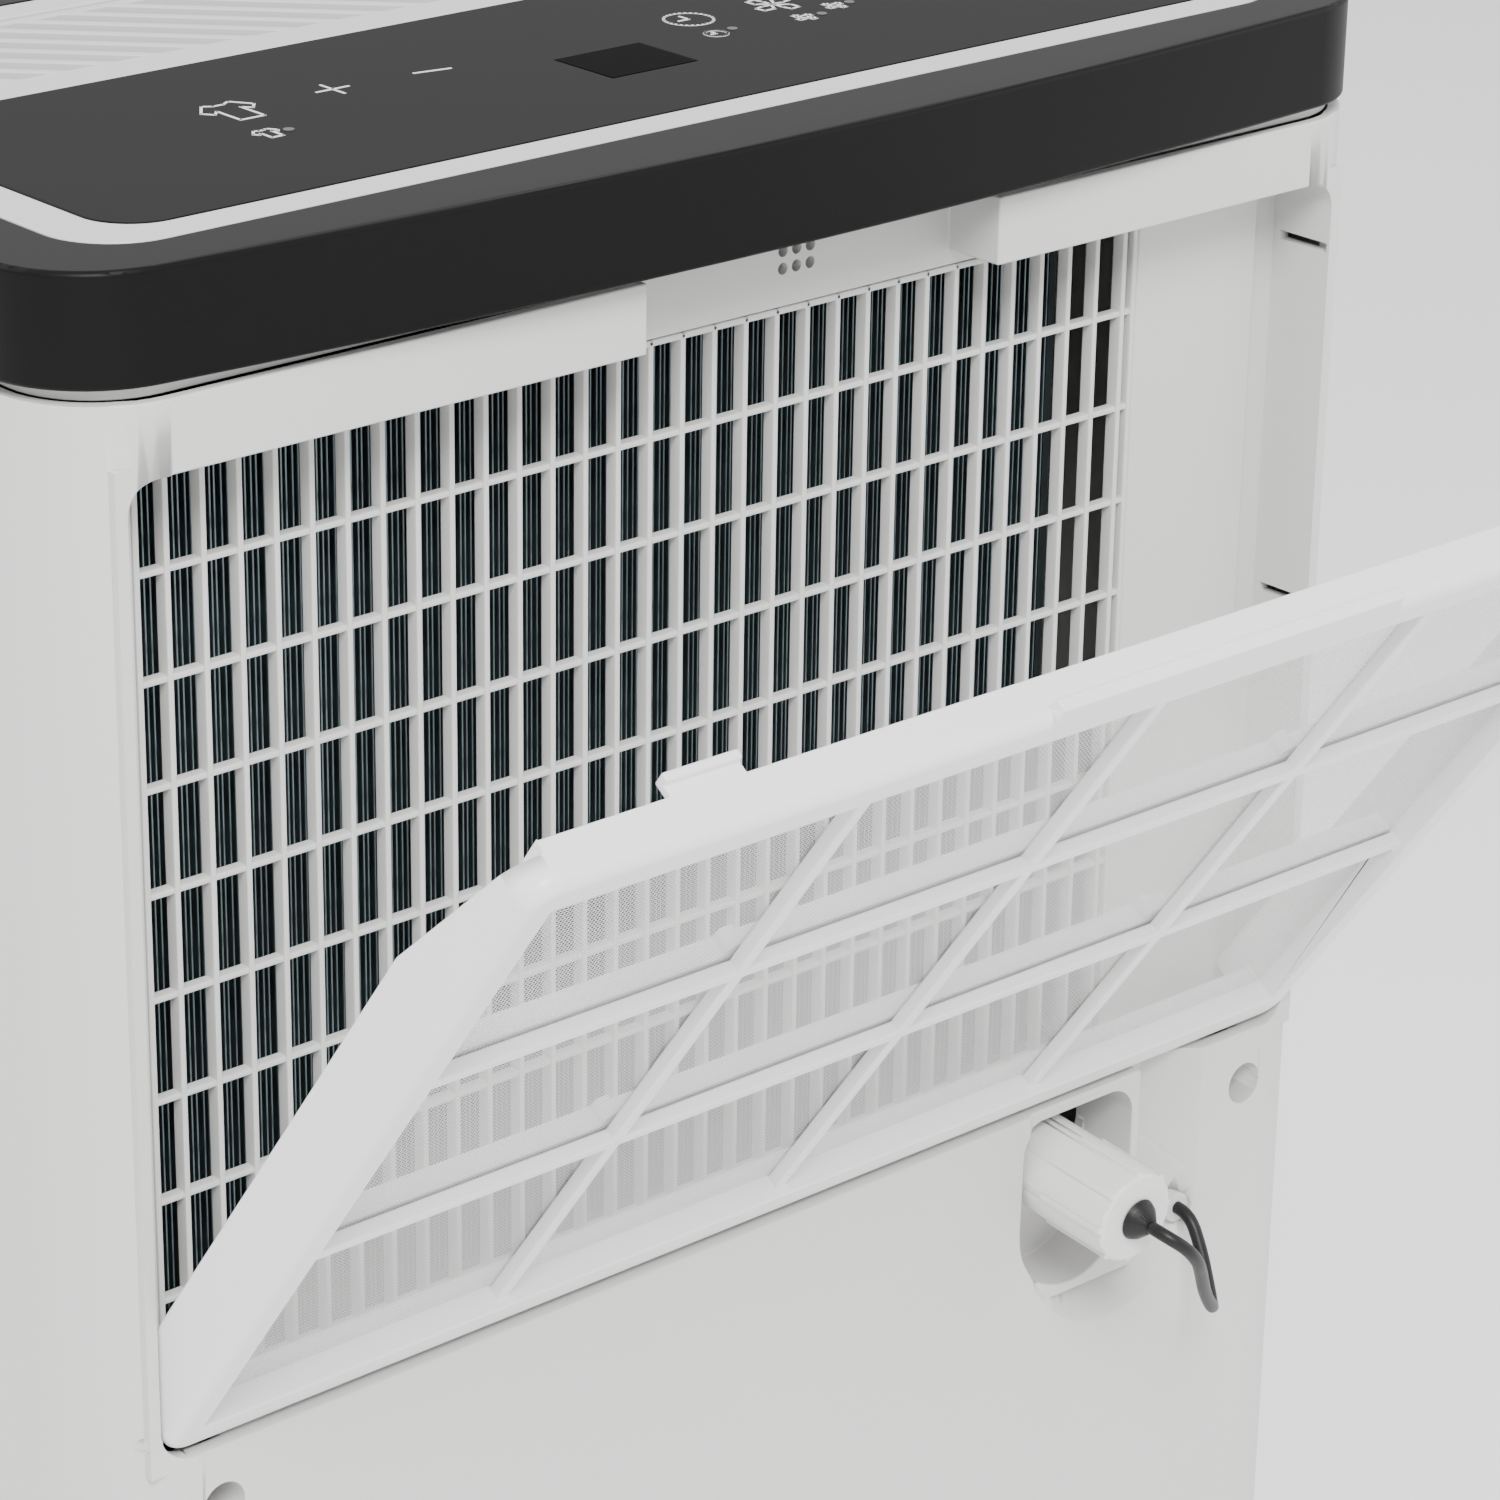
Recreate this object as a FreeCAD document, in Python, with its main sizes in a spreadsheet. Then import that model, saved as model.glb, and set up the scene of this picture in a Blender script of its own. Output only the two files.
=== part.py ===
"""Rolling dehumidifier with a tip-out rear air filter, a rear drain port and a front water tank.

Millimetres, +Z up.  The origin is on the floor under the middle of the machine: the front, with the
water tank, faces -Y, and the rear, with the air intake, faces +Y.  The rest pose has the filter tipped
out on its stop, the tank pushed in and the drain port capped and plugged.
"""
import FreeCAD, Part
import math
import os
import Sketcher

doc = FreeCAD.newDocument("Dehumidifier")
sheet = doc.addObject("Spreadsheet::Sheet", "Sizes")
parts = []

SIZES = {
    # housing
    "body_width": 336, "body_depth": 255, "body_corner": 22, "wall": 2.5,
    "skirt_bottom": 26, "base_top": 50, "base_plate": 4, "base_wall": 3, "housing_top": 490.7,
    "seam_front": 20, "seam_gap": 0.2,
    # cover, light frame and control panel
    "cover_gap": 2.7, "cover_height": 21.6, "cover_overhang": 1.5, "cover_bow": 6.5,
    "bow_radius": 1700, "cover_edge": 1.2, "cover_lip": 3,
    "insert_width": 304, "insert_rear": 13.5, "insert_length": 157, "insert_corner": 15,
    "insert_depth": 6, "panel_margin": 11, "panel_rear": 8.5, "panel_length": 86.5,
    "panel_corner": 11, "panel_thick": 2.2, "panel_seat": 3, "fit_gap": 0.3,
    "display_width": 22, "display_length": 18, "display_left": 16.2, "display_rear": 26,
    "display_sink": 1.2,
    "louvre_width": 260, "louvre_length": 43, "louvre_gap": 10.5, "louvre_pitch": 11.1,
    "slat_thick": 2.4, "slat_depth": 9, "slat_angle": 45,
    # filter recess and intake grille in the rear face
    "recess_width": 310.2, "recess_depth": 14.5, "recess_bottom": 280, "recess_top": 476.5,
    "recess_corner": 6.5, "recess_floor": 5.1, "channel_width": 8.6, "channel_depth": 3,
    "slot_high": 460, "slot_low": 379, "slot_rise": 2, "tab_slot": 12, "tab_slot_left": 140,
    "tab_slot_right": 131, "finger_left": 54.6, "finger_right": 37.4,
    "grille_start": 145.4, "grille_pitch": 8.14, "grille_bar": 1.35, "grille_columns": 31.4,
    "grille_top": 473.2, "grille_row": 21.04, "grille_rows": 9, "grille_thick": 3.2,
    "grille_setback": 0.3,
    # filter cassette
    "filter_pivot_in": 3, "filter_pivot_up": 4.5, "filter_tilt": 36, "filter_side_gap": 0.5,
    "filter_foot": 3.5, "filter_reach": 190, "filter_face": 2.7, "filter_rail": 7,
    "filter_rail_depth": 16.4,
    "filter_top_rail": 8, "filter_top_depth": 9.7, "filter_end_depth": 6.9, "filter_taper": 42,
    "filter_bottom_rail": 8.5, "filter_rib": 3,
    "filter_rib_front": 0.6, "filter_shelf": 8, "filter_mesh_back": 2.5, "filter_mesh_thick": 0.6,
    "filter_pin": 1.5,
    "filter_lip": 3, "filter_lip_thick": 3, "latch_width": 17, "latch_from_edge": 35, "latch_reach": 4,
    "latch_ridge": 1.4, "pin_play": 0.06,
    # drain port
    "port_offset": 84, "port_height": 263.5, "port_tilt": 5, "dish_centre": 101, "dish_radius": 27,
    "dish_slope": 48, "tunnel_depth": 16, "tunnel_corner": 7,
    "dish_depth": 9.5, "dish_low": 249, "tunnel_centre": 89.5, "tunnel_radius": 17.5,
    "tunnel_low": 251.5,
    "cap_radius": 10.6, "cap_length": 36, "cap_out": 23.5, "cap_wall": 2.2, "cap_rib": 0.5,
    "cap_ribs": 8, "cap_rib_width": 1.6,
    "cap_grip": 19, "spigot_play": 0.06, "plug_radius": 4.8, "plug_stem": 3, "plug_cone": 4.5,
    "plug_stem_length": 6, "tether_diameter": 3, "anchor_radius": 3.5, "anchor_offset": 123,
    "anchor_sink": 1, "anchor_height": 241.2, "anchor_run": 4,
    # machine inside
    "plate_height": 244, "plate_thick": 4, "bay_wall_front": -8, "bay_wall_thick": 3,
    "tray_left": 103, "tray_right": 156, "tray_front": 42, "tray_rear": 107, "tray_height": 36,
    "tray_wall": 2,
    "coil_left": 93, "coil_right": 147, "coil_top": 474, "coil_low": 255, "coil_depth": 25,
    "evaporator_front": 79, "condenser_front": 49, "coil_end": 2, "coil_bend": 4,
    "fan_height": 372, "fan_radius": 80, "fan_width": 38, "fan_front": -33, "hub_radius": 18,
    "fan_blades": 24, "blade_thick": 1.6, "blade_chord": 12, "inlet_bore": 62,
    "scroll_radius": 96, "scroll_wall": 2.5, "scroll_gap": 3, "scroll_exit": 10, "diffuser_low": 488,
    "diffuser_gap": 10, "diffuser_half": 124,
    "motor_radius": 36, "motor_length": 46, "motor_shaft": 4, "shaft_play": 0.06,
    "compressor_offset": 70, "compressor_back": 58, "compressor_radius": 50, "compressor_height": 160,
    "foot_height": 12, "foot_radius": 9, "pipe_radius": 3.2, "pipe_side": 160.5, "pipe_drop": 6,
    "chassis_side": 155, "chassis_front": 118, "chassis_rear": 108,
    # water tank
    "tank_width": 296, "tank_depth": 112, "tank_bottom": 64.4, "tank_height": 168, "tank_wall": 2.4,
    "tank_corner": 12, "tank_front_thick": 3, "bay_side_gap": 2, "bay_top_gap": 3,
    "rail_width": 12, "rail_inset": 50, "lid_thick": 2.5, "grip_slot": 90,
    "grip_slot_rise": 28, "grip_slot_low": 196, "grip_slot_depth": 18, "window_width": 12,
    "window_rise": 110, "window_low": 84, "window_offset": 110, "fill_offset": 60, "fill_radius": 18,
    "float_offset": 90, "float_arm": 44, "float_size": 26, "float_rest": 22,
    # castors
    "castor_offset_x": 125, "castor_offset_y": 86, "castor_trail": 10, "wheel_radius": 18,
    "wheel_width": 14, "axle_radius": 2.5, "axle_play": 0.06, "fork_wall": 3, "fork_gap": 1,
    "stem_radius": 4,
    "stem_play": 0.06, "crown_top": 41, "boss_radius": 9, "boss_top": 61,
    # grips, screws, inlet
    "grip_height": 400, "grip_length": 92, "grip_rise": 30, "grip_depth": 24, "grip_front": -80,
    "screw_offset": 142, "screw_height": 267, "screw_recess": 4.9, "screw_depth": 12,
    "screw_radius": 3.4, "shank_radius": 1.75, "sensor_pitch": 3.6, "sensor_hole": 1.25,
    "sensor_left": 9.7, "sensor_low": 481.1,
    "inlet_offset": 120, "inlet_height": 92, "inlet_radius": 9,
}
for row, (alias, value) in enumerate(SIZES.items(), start=1):
    sheet.set(f"A{row}", alias)
    sheet.set(f"B{row}", str(value))
    sheet.setAlias(f"B{row}", alias)
doc.recompute()


def ex(text):
    """Write Sizes. in front of every size named in an expression."""
    words = []
    word = ""
    for letter in text + " ":
        if letter.isalnum() or letter == "_":
            word += letter
            continue
        words.append("Sizes." + word if word in SIZES else word)
        words.append(letter)
        word = ""
    return "".join(words).strip()


def num(text):
    """The number that an expression over the sizes has now."""
    value = sheet.evalExpression(ex(str(text)))
    return float(getattr(value, "Value", value))


def bind(thing, path, text):
    thing.setExpression(path, ex(str(text)))


def place(thing, x="0", y="0", z="0", axis=None, angle="0"):
    """Seat a finished sub-part, with its place and turn bound to the sizes."""
    if axis:
        thing.Placement.Rotation = FreeCAD.Rotation(FreeCAD.Vector(*axis), num(angle))
        bind(thing, "Placement.Rotation.Angle", angle)
    for letter, text in zip("xyz", (x, y, z)):
        bind(thing, f"Placement.Base.{letter}", text)


def keep(thing, label):
    """Name a finished sub-part; the name is its file's too."""
    thing.Label = label
    parts.append(thing)
    return thing


# ---------------------------------------------------------------- sketches and features
def new_body(name):
    return doc.addObject("PartDesign::Body", name + "_body")


def sketch(body, role, offset="0"):
    """A sketch on one of the body's own origin planes, moved along the plane's normal."""
    flat = body.newObject("Sketcher::SketchObject", "Sketch")
    plane = next(feature for feature in body.Origin.OriginFeatures if feature.Role == role)
    flat.AttachmentSupport = [(plane, "")]
    flat.MapMode = "FlatFace"
    bind(flat, "AttachmentOffset.Base.z", offset)
    return flat


def locate(flat, edge, end, across, up):
    """Hold one end of a sketch edge at two bound distances from the origin."""
    for kind, text in (("DistanceX", across), ("DistanceY", up)):
        number = flat.addConstraint(Sketcher.Constraint(kind, -1, 1, edge, end, num(text)))
        bind(flat, f"Constraints[{number}]", text)


def polygon(flat, points):
    """A closed outline of straight edges whose corners are all bound."""
    corners = [FreeCAD.Vector(num(across), num(up), 0) for across, up in points]
    first = flat.GeometryCount
    count = len(corners)
    for index in range(count):
        flat.addGeometry(Part.LineSegment(corners[index], corners[(index + 1) % count]), False)
    for index in range(count):
        following = first + (index + 1) % count
        flat.addConstraint(Sketcher.Constraint("Coincident", first + index, 2, following, 1))
        locate(flat, first + index, 1, *points[index])


def rectangle(flat, left, right, low, high):
    polygon(flat, [(left, low), (right, low), (right, high), (left, high)])


def rounded(flat, left, right, low, high, radius):
    """A rectangle with round corners: bound straight edges, joined by arcs of a bound radius."""
    points = [(f"{left} + {radius}", low), (f"{right} - {radius}", low),
              (right, f"{low} + {radius}"), (right, f"{high} - {radius}"),
              (f"{right} - {radius}", high), (f"{left} + {radius}", high),
              (left, f"{high} - {radius}"), (left, f"{low} + {radius}")]
    spots = [FreeCAD.Vector(num(across), num(up), 0) for across, up in points]
    first = flat.GeometryCount
    turn = num(radius)
    for index in range(0, 8, 2):
        start, end, following = spots[index], spots[index + 1], spots[(index + 2) % 8]
        flat.addGeometry(Part.LineSegment(start, end), False)
        run = (end - start).normalize()
        centre = end + FreeCAD.Vector(-run.y, run.x, 0) * turn
        middle = centre + (end - centre + following - centre).normalize() * turn
        flat.addGeometry(Part.Arc(end, middle, following), False)
    for index in range(0, 8, 2):
        line, arc = first + index, first + index + 1
        following = first + (index + 2) % 8
        locate(flat, line, 1, *points[index])
        locate(flat, line, 2, *points[index + 1])
        flat.addConstraint(Sketcher.Constraint("Coincident", line, 2, arc, 1))
        flat.addConstraint(Sketcher.Constraint("Coincident", arc, 2, following, 1))
        number = flat.addConstraint(Sketcher.Constraint("Radius", arc, turn))
        bind(flat, f"Constraints[{number}]", radius)


def circle(flat, across, up, radius):
    edge = flat.addGeometry(Part.Circle(FreeCAD.Vector(num(across), num(up), 0),
                                        FreeCAD.Vector(0, 0, 1), num(radius)), False)
    locate(flat, edge, 3, across, up)
    number = flat.addConstraint(Sketcher.Constraint("Radius", edge, num(radius)))
    bind(flat, f"Constraints[{number}]", radius)


def feature(body, kind, flat, length=None, backwards=False, through=False, taper=None):
    """A Pad or Pocket of a sketch, checked to have added or removed material."""
    doc.recompute()
    before = body.Shape.Volume if body.Tip else 0
    made = body.newObject("PartDesign::" + kind, kind)
    made.Profile = flat
    made.Reversed = backwards
    if through:
        made.Type = "ThroughAll"
        made.Midplane = True
    else:
        bind(made, "Length", length)
    if taper:
        bind(made, "TaperAngle", taper)
    doc.recompute()
    change = body.Shape.Volume - before
    if "Up-to-date" not in made.State or (change if kind == "Pad" else -change) <= 0:
        raise ValueError(f"{kind} in {body.Name} changed nothing: {made.getStatusString()}")
    return made


def edges_where(shape, test):
    return [f"Edge{number}" for number, edge in enumerate(shape.Edges, start=1) if test(edge)]


def along(edge, axis):
    """Is the edge straight and parallel to one of the axes X, Y, Z?"""
    if edge.Curve.TypeId != "Part::GeomLine":
        return False
    run = edge.Vertexes[-1].Point - edge.Vertexes[0].Point
    return abs(abs(run[axis]) - run.Length) < 1e-6


def near(edge, x=None, y=None, z=None, reach=0.05):
    """Does the edge's middle lie at the stated coordinates?"""
    middle = edge.valueAt((edge.FirstParameter + edge.LastParameter) / 2)
    wanted = zip(middle, (x, y, z))
    return all(target is None or abs(value - target) < reach for value, target in wanted)


def dress(body, kind, test, size):
    """A fillet or chamfer on the edges that pass the test."""
    doc.recompute()
    base = body.Tip
    names = edges_where(base.Shape, test)
    if not names:
        raise ValueError(f"{kind} in {body.Name} found no edge")
    made = body.newObject("PartDesign::" + kind, kind)
    made.Base = (base, names)
    bind(made, "Radius" if kind == "Fillet" else "Size", size)
    doc.recompute()
    return made


# ---------------------------------------------------------------- primitives and booleans
def block(left, right, front, rear, low, high):
    thing = doc.addObject("Part::Box", "Block")
    for path, text in (("Length", f"({right}) - ({left})"), ("Width", f"({rear}) - ({front})"),
                       ("Height", f"({high}) - ({low})"), ("Placement.Base.x", left),
                       ("Placement.Base.y", front), ("Placement.Base.z", low)):
        bind(thing, path, text)
    return thing


TURNS = {"X": ((0, 1, 0), 90), "Y": ((1, 0, 0), -90), "Z": ((0, 0, 1), 0)}


def rod(axis, x, y, z, radius, length):
    """A cylinder that starts at a point and runs along an axis."""
    thing = doc.addObject("Part::Cylinder", "Rod")
    thing.Placement.Rotation = FreeCAD.Rotation(FreeCAD.Vector(*TURNS[axis][0]), TURNS[axis][1])
    bind(thing, "Radius", radius)
    bind(thing, "Height", length)
    for path, text in (("x", x), ("y", y), ("z", z)):
        bind(thing, f"Placement.Base.{path}", text)
    return thing


def fuse(*things):
    if len(things) == 1:
        return things[0]
    thing = doc.addObject("Part::MultiFuse", "Fuse")
    thing.Shapes = list(things)
    thing.Refine = True
    return thing


def cut(base, *tools):
    thing = doc.addObject("Part::Cut", "Cut")
    thing.Base = base
    thing.Tool = fuse(*tools)
    thing.Refine = True
    return thing


def soften(base, test, radius):
    """A Part fillet on the edges that pass the test."""
    doc.recompute()
    names = [number for number, edge in enumerate(base.Shape.Edges, start=1) if test(edge)]
    if not names:
        raise ValueError("no edge to soften")
    thing = doc.addObject("Part::Fillet", "Soft")
    thing.Base = base
    thing.Edges = [(number, num(radius), num(radius)) for number in names]
    return thing


# Places that several sub-parts share, as expressions over the sizes
SIDE = "body_width / 2"
REAR = "body_depth / 2"
INNER_SIDE = "body_width / 2 - wall"
INNER_REAR = "body_depth / 2 - wall"
GRILLE_FACE = "body_depth / 2 - recess_depth"
RECESS_SIDE = "recess_width / 2"
BLOCK_FRONT = "body_depth / 2 - recess_depth - recess_floor"
COVER_LOW = "housing_top + cover_gap"
COVER_TOP = "housing_top + cover_gap + cover_height"
TANK_TOP = "tank_bottom + tank_height"
PLATE_TOP = "plate_height + plate_thick"
GRILLE_RIGHT = "grille_start - grille_pitch * grille_columns"
GRILLE_LOW = "grille_top - grille_row * grille_rows"
PIVOT_Y = "body_depth / 2 - filter_pivot_in"
PIVOT_Z = "recess_bottom + filter_pivot_up"
FILTER_SIDE = "recess_width / 2 - filter_side_gap"


def corner_test(side, end):
    """Picks the upright edges at four corners that mirror each other."""
    side_now, end_now = num(side), num(end)

    def test(edge):
        middle = edge.valueAt((edge.FirstParameter + edge.LastParameter) / 2)
        return (along(edge, 2) and abs(abs(middle.x) - side_now) < 0.05
                and abs(abs(middle.y) - end_now) < 0.05)
    return test


# ---------------------------------------------------------------- housing
def base_tray():
    """The moulded base: a skirt round the castors, a floor plate, castor bosses and tank rails."""
    body = new_body("base_tray")
    flat = sketch(body, "XY_Plane")
    rectangle(flat, f"-({SIDE})", SIDE, f"-({REAR})", REAR)
    feature(body, "Pad", flat, "base_top - skirt_bottom")
    flat = sketch(body, "XY_Plane")
    side, end = "body_width / 2 - base_wall", "body_depth / 2 - base_wall"
    rectangle(flat, f"-({side})", side, f"-({end})", end)
    feature(body, "Pocket", flat, "base_top - skirt_bottom - base_plate", backwards=True)
    dress(body, "Fillet", corner_test(SIDE, REAR), "body_corner")
    dress(body, "Fillet", corner_test(side, end), "body_corner - base_wall")
    flat = sketch(body, "XY_Plane", "base_top - skirt_bottom")
    for across in ("castor_offset_x", "-castor_offset_x"):
        for up in ("castor_offset_y", "-castor_offset_y"):
            circle(flat, across, up, "boss_radius")
    feature(body, "Pad", flat, "boss_top - base_top")
    flat = sketch(body, "XY_Plane")
    for across in ("castor_offset_x", "-castor_offset_x"):
        for up in ("castor_offset_y", "-castor_offset_y"):
            circle(flat, across, up, "stem_radius + stem_play")
    feature(body, "Pocket", flat, through=True)
    flat = sketch(body, "XY_Plane", "base_top - skirt_bottom")
    inner = "tank_width / 2 - rail_inset - rail_width"
    outer = "tank_width / 2 - rail_inset"
    front, rear = "-body_depth / 2 + wall * 2", "bay_wall_front - rail_width"
    rectangle(flat, inner, outer, front, rear)
    rectangle(flat, f"-({outer})", f"-({inner})", front, rear)
    feature(body, "Pad", flat, "tank_bottom - base_top - fit_gap")
    place(body, z="skirt_bottom")
    return keep(body, "base_tray")


def front_housing():
    """The front shell, with the tank opening and a hand grip opening in each side."""
    body = new_body("front_housing")
    flat = sketch(body, "XY_Plane")
    rectangle(flat, f"-({SIDE})", SIDE, f"-({REAR})", "seam_front")
    feature(body, "Pad", flat, "housing_top - base_top")
    flat = sketch(body, "XY_Plane")
    rectangle(flat, f"-({INNER_SIDE})", INNER_SIDE, f"-({INNER_REAR})", "seam_front + wall")
    feature(body, "Pocket", flat, through=True)
    dress(body, "Fillet", corner_test(SIDE, REAR), "body_corner")
    dress(body, "Fillet", corner_test(INNER_SIDE, INNER_REAR), "body_corner - wall")
    flat = sketch(body, "XZ_Plane", REAR)
    opening = "tank_width / 2 + bay_side_gap"
    rectangle(flat, f"-({opening})", opening, "-bay_side_gap", f"{TANK_TOP} + bay_top_gap - base_top")
    feature(body, "Pocket", flat, "wall * 3")
    flat = sketch(body, "YZ_Plane")
    rectangle(flat, "grip_front", "grip_front + grip_length", "grip_height - grip_rise / 2 - base_top",
              "grip_height + grip_rise / 2 - base_top")
    feature(body, "Pocket", flat, through=True)
    place(body, z="base_top")
    return keep(body, "front_housing")


def rear_housing():
    """The rear shell, with the filter recess, its slots, the drain dish and tunnel, and screw recesses."""
    body = new_body("rear_housing")
    flat = sketch(body, "XY_Plane")
    rectangle(flat, f"-({SIDE})", SIDE, "seam_front + seam_gap", REAR)
    feature(body, "Pad", flat, "housing_top - base_top")
    flat = sketch(body, "XY_Plane")
    rectangle(flat, f"-({INNER_SIDE})", INNER_SIDE, "seam_front - wall", INNER_REAR)
    feature(body, "Pocket", flat, through=True)
    dress(body, "Fillet", corner_test(SIDE, REAR), "body_corner")
    dress(body, "Fillet", corner_test(INNER_SIDE, INNER_REAR), "body_corner - wall")
    recess_block(body)
    drain_dish(body)
    screw_recesses(body)
    place(body, z="base_top")
    return keep(body, "rear_housing")


def recess_block(body):
    """The thick frame that the recess is sunk into, behind the rear wall, and what is cut in it."""
    low, high = "recess_bottom - base_top", "recess_top - base_top"
    side = "recess_width / 2 + wall"
    flat = sketch(body, "XZ_Plane", f"-({INNER_REAR}) - wall / 2")
    polygon(flat, [(f"-({side})", f"{low} - wall"), (side, f"{low} - wall"), (side, f"{high} + wall"),
                   ("finger_right + wall", f"{high} + wall"),
                   ("finger_right + wall", "housing_top - base_top"),
                   ("-finger_left - wall", "housing_top - base_top"),
                   ("-finger_left - wall", f"{high} + wall"), (f"-({side})", f"{high} + wall")])
    feature(body, "Pad", flat, "recess_depth + recess_floor - wall / 2")
    flat = sketch(body, "XZ_Plane", f"-({REAR})")
    rounded(flat, f"-({RECESS_SIDE})", RECESS_SIDE, low, high, "recess_corner")
    feature(body, "Pocket", flat, "recess_depth", backwards=True)
    flat = sketch(body, "XZ_Plane", f"-({REAR})")
    rectangle(flat, "-finger_left", "finger_right", f"{high} - recess_corner",
              "housing_top - base_top + wall")
    feature(body, "Pocket", flat, "recess_depth", backwards=True)
    flat = sketch(body, "XZ_Plane", f"-({GRILLE_FACE})")
    inner = "recess_width / 2 - channel_width"
    for left, right in ((f"-({RECESS_SIDE})", f"-({inner})"), (inner, RECESS_SIDE)):
        rectangle(flat, left, right, low, f"{high} - recess_corner / 4")
    feature(body, "Pocket", flat, "channel_depth", backwards=True)
    flat = sketch(body, "XZ_Plane", f"-({GRILLE_FACE})")
    rectangle(flat, GRILLE_RIGHT, "grille_start", f"{GRILLE_LOW} - base_top", "grille_top - base_top")
    feature(body, "Pocket", flat, "recess_floor + wall", backwards=True)
    flat = sketch(body, "YZ_Plane")
    circle(flat, PIVOT_Y, f"{PIVOT_Z} - base_top", "filter_pin + pin_play")
    feature(body, "Pocket", flat, through=True)
    flat = sketch(body, "YZ_Plane", f"wall / 2 - ({RECESS_SIDE})")
    for height in ("slot_high", "slot_low"):
        rectangle(flat, f"{GRILLE_FACE} - slot_rise / 2", f"{REAR} - slot_rise", f"{height} - base_top",
                  f"{height} + slot_rise - base_top")
    feature(body, "Pocket", flat, "wall * 2")
    flat = sketch(body, "XY_Plane", f"{low} + wall / 2")
    for left in ("-tab_slot_right - tab_slot", "tab_slot_left"):
        rectangle(flat, left, f"{left} + tab_slot", f"{GRILLE_FACE} - wall / 2", f"{REAR} - slot_rise * 2")
    return feature(body, "Pocket", flat, "wall * 3")


def drain_dish(body):
    """A shallow thumb dish below the recess and, in it, the deep tunnel that the drain cap stands in."""
    high = "recess_bottom - base_top"
    flat = sketch(body, "XZ_Plane", f"-({INNER_REAR}) - wall / 2")
    side_a, side_b = "-dish_centre - dish_radius - wall", "-dish_centre + dish_radius + wall"
    rectangle(flat, side_a, side_b, "dish_low - dish_radius - wall - base_top", high)
    feature(body, "Pad", flat, "dish_depth + wall / 2")
    flat = sketch(body, "XZ_Plane", f"-({REAR})")
    circle(flat, "-dish_centre", "dish_low - base_top", "dish_radius")
    feature(body, "Pocket", flat, "dish_depth", backwards=True, taper="-dish_slope")
    flat = sketch(body, "XZ_Plane", f"-({REAR})")
    rectangle(flat, "-dish_centre - dish_radius", "-dish_centre + dish_radius", "dish_low - base_top",
              f"{high} + recess_corner * 2")
    feature(body, "Pocket", flat, "dish_depth", backwards=True, taper="-dish_slope")
    side_a, side_b = "-tunnel_centre - tunnel_radius", "-tunnel_centre + tunnel_radius"
    flat = sketch(body, "XZ_Plane", f"-({INNER_REAR}) - wall / 2")
    rectangle(flat, f"{side_a} - wall", f"{side_b} + wall",
              "tunnel_low - tunnel_radius - wall - base_top", high)
    feature(body, "Pad", flat, "tunnel_depth + wall / 2")
    flat = sketch(body, "XZ_Plane", f"-({REAR})")
    circle(flat, "-tunnel_centre", "tunnel_low - base_top", "tunnel_radius")
    feature(body, "Pocket", flat, "tunnel_depth", backwards=True)
    flat = sketch(body, "XZ_Plane", f"-({REAR})")
    rounded(flat, side_a, side_b, "tunnel_low - tunnel_corner - base_top", f"{high} - wall",
            "tunnel_corner")
    feature(body, "Pocket", flat, "tunnel_depth", backwards=True)
    flat = sketch(body, "XZ_Plane", f"-({REAR})")
    circle(flat, "-port_offset", "port_height - base_top", "cap_radius + cap_rib + fit_gap")
    feature(body, "Pocket", flat, "tunnel_depth + wall * 2", backwards=True)
    flat = sketch(body, "XZ_Plane", f"-({REAR})")
    rounded(flat, side_a, side_b, "port_height - tunnel_corner - base_top", f"{high} - wall",
            "tunnel_corner")
    feature(body, "Pocket", flat, "tunnel_depth + wall * 2", backwards=True)
    flat = sketch(body, "XZ_Plane", f"-({REAR})")
    circle(flat, "-anchor_offset", "anchor_height - base_top", "anchor_radius + fit_gap / 5")
    return feature(body, "Pocket", flat, "dish_depth + wall * 2", backwards=True)


def screw_recesses(body):
    """A blind boss behind each rear screw, recessed so that the head sits below the face."""
    flat = sketch(body, "XZ_Plane", f"-({INNER_REAR}) - wall / 2")
    for across in ("screw_offset", "-screw_offset"):
        circle(flat, across, "screw_height - base_top", "screw_recess + wall")
    feature(body, "Pad", flat, "screw_depth")
    flat = sketch(body, "XZ_Plane", f"-({REAR})")
    for across in ("screw_offset", "-screw_offset"):
        circle(flat, across, "screw_height - base_top", "screw_recess")
    feature(body, "Pocket", flat, "screw_depth", backwards=True)
    flat = sketch(body, "XZ_Plane", f"-({REAR})")
    for across in ("screw_offset", "-screw_offset"):
        circle(flat, across, "screw_height - base_top", "shank_radius + fit_gap / 5")
    feature(body, "Pocket", flat, "screw_depth + wall * 2", backwards=True)
    flat = sketch(body, "XZ_Plane", f"-({GRILLE_FACE})")
    for column in range(3):
        for row in range(3):
            circle(flat, f"-sensor_left - {column} * sensor_pitch",
                   f"sensor_low - base_top + {row} * sensor_pitch", "sensor_hole")
    feature(body, "Pocket", flat, "recess_floor + wall", backwards=True)
    flat = sketch(body, "XZ_Plane", f"-({REAR}) - wall")
    circle(flat, "-inlet_offset", "inlet_height - base_top", "inlet_radius + fit_gap / 5")
    return feature(body, "Pocket", flat, "wall * 3", backwards=True)


def bowed_slab(grow, low, high, front_corner):
    """The cover's plan shape, grown or shrunk, between two heights: a box with bowed front and rear."""
    side = f"{SIDE} + cover_overhang + ({grow})"
    end = f"{REAR} + cover_bow + ({grow})"
    slab = doc.addObject("Part::MultiCommon", "Slab")
    slab.Shapes = [block(f"-({side})", side, f"-({end})", end, low, high),
                   rod("Z", "0", f"{end} - bow_radius", low, "bow_radius", f"({high}) - ({low})"),
                   rod("Z", "0", f"bow_radius - ({end})", low, "bow_radius", f"({high}) - ({low})")]
    height = num(f"({high}) - ({low})")
    return soften(slab, lambda edge: along(edge, 2) and abs(edge.Length - height) < 1e-6, front_corner)


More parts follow.
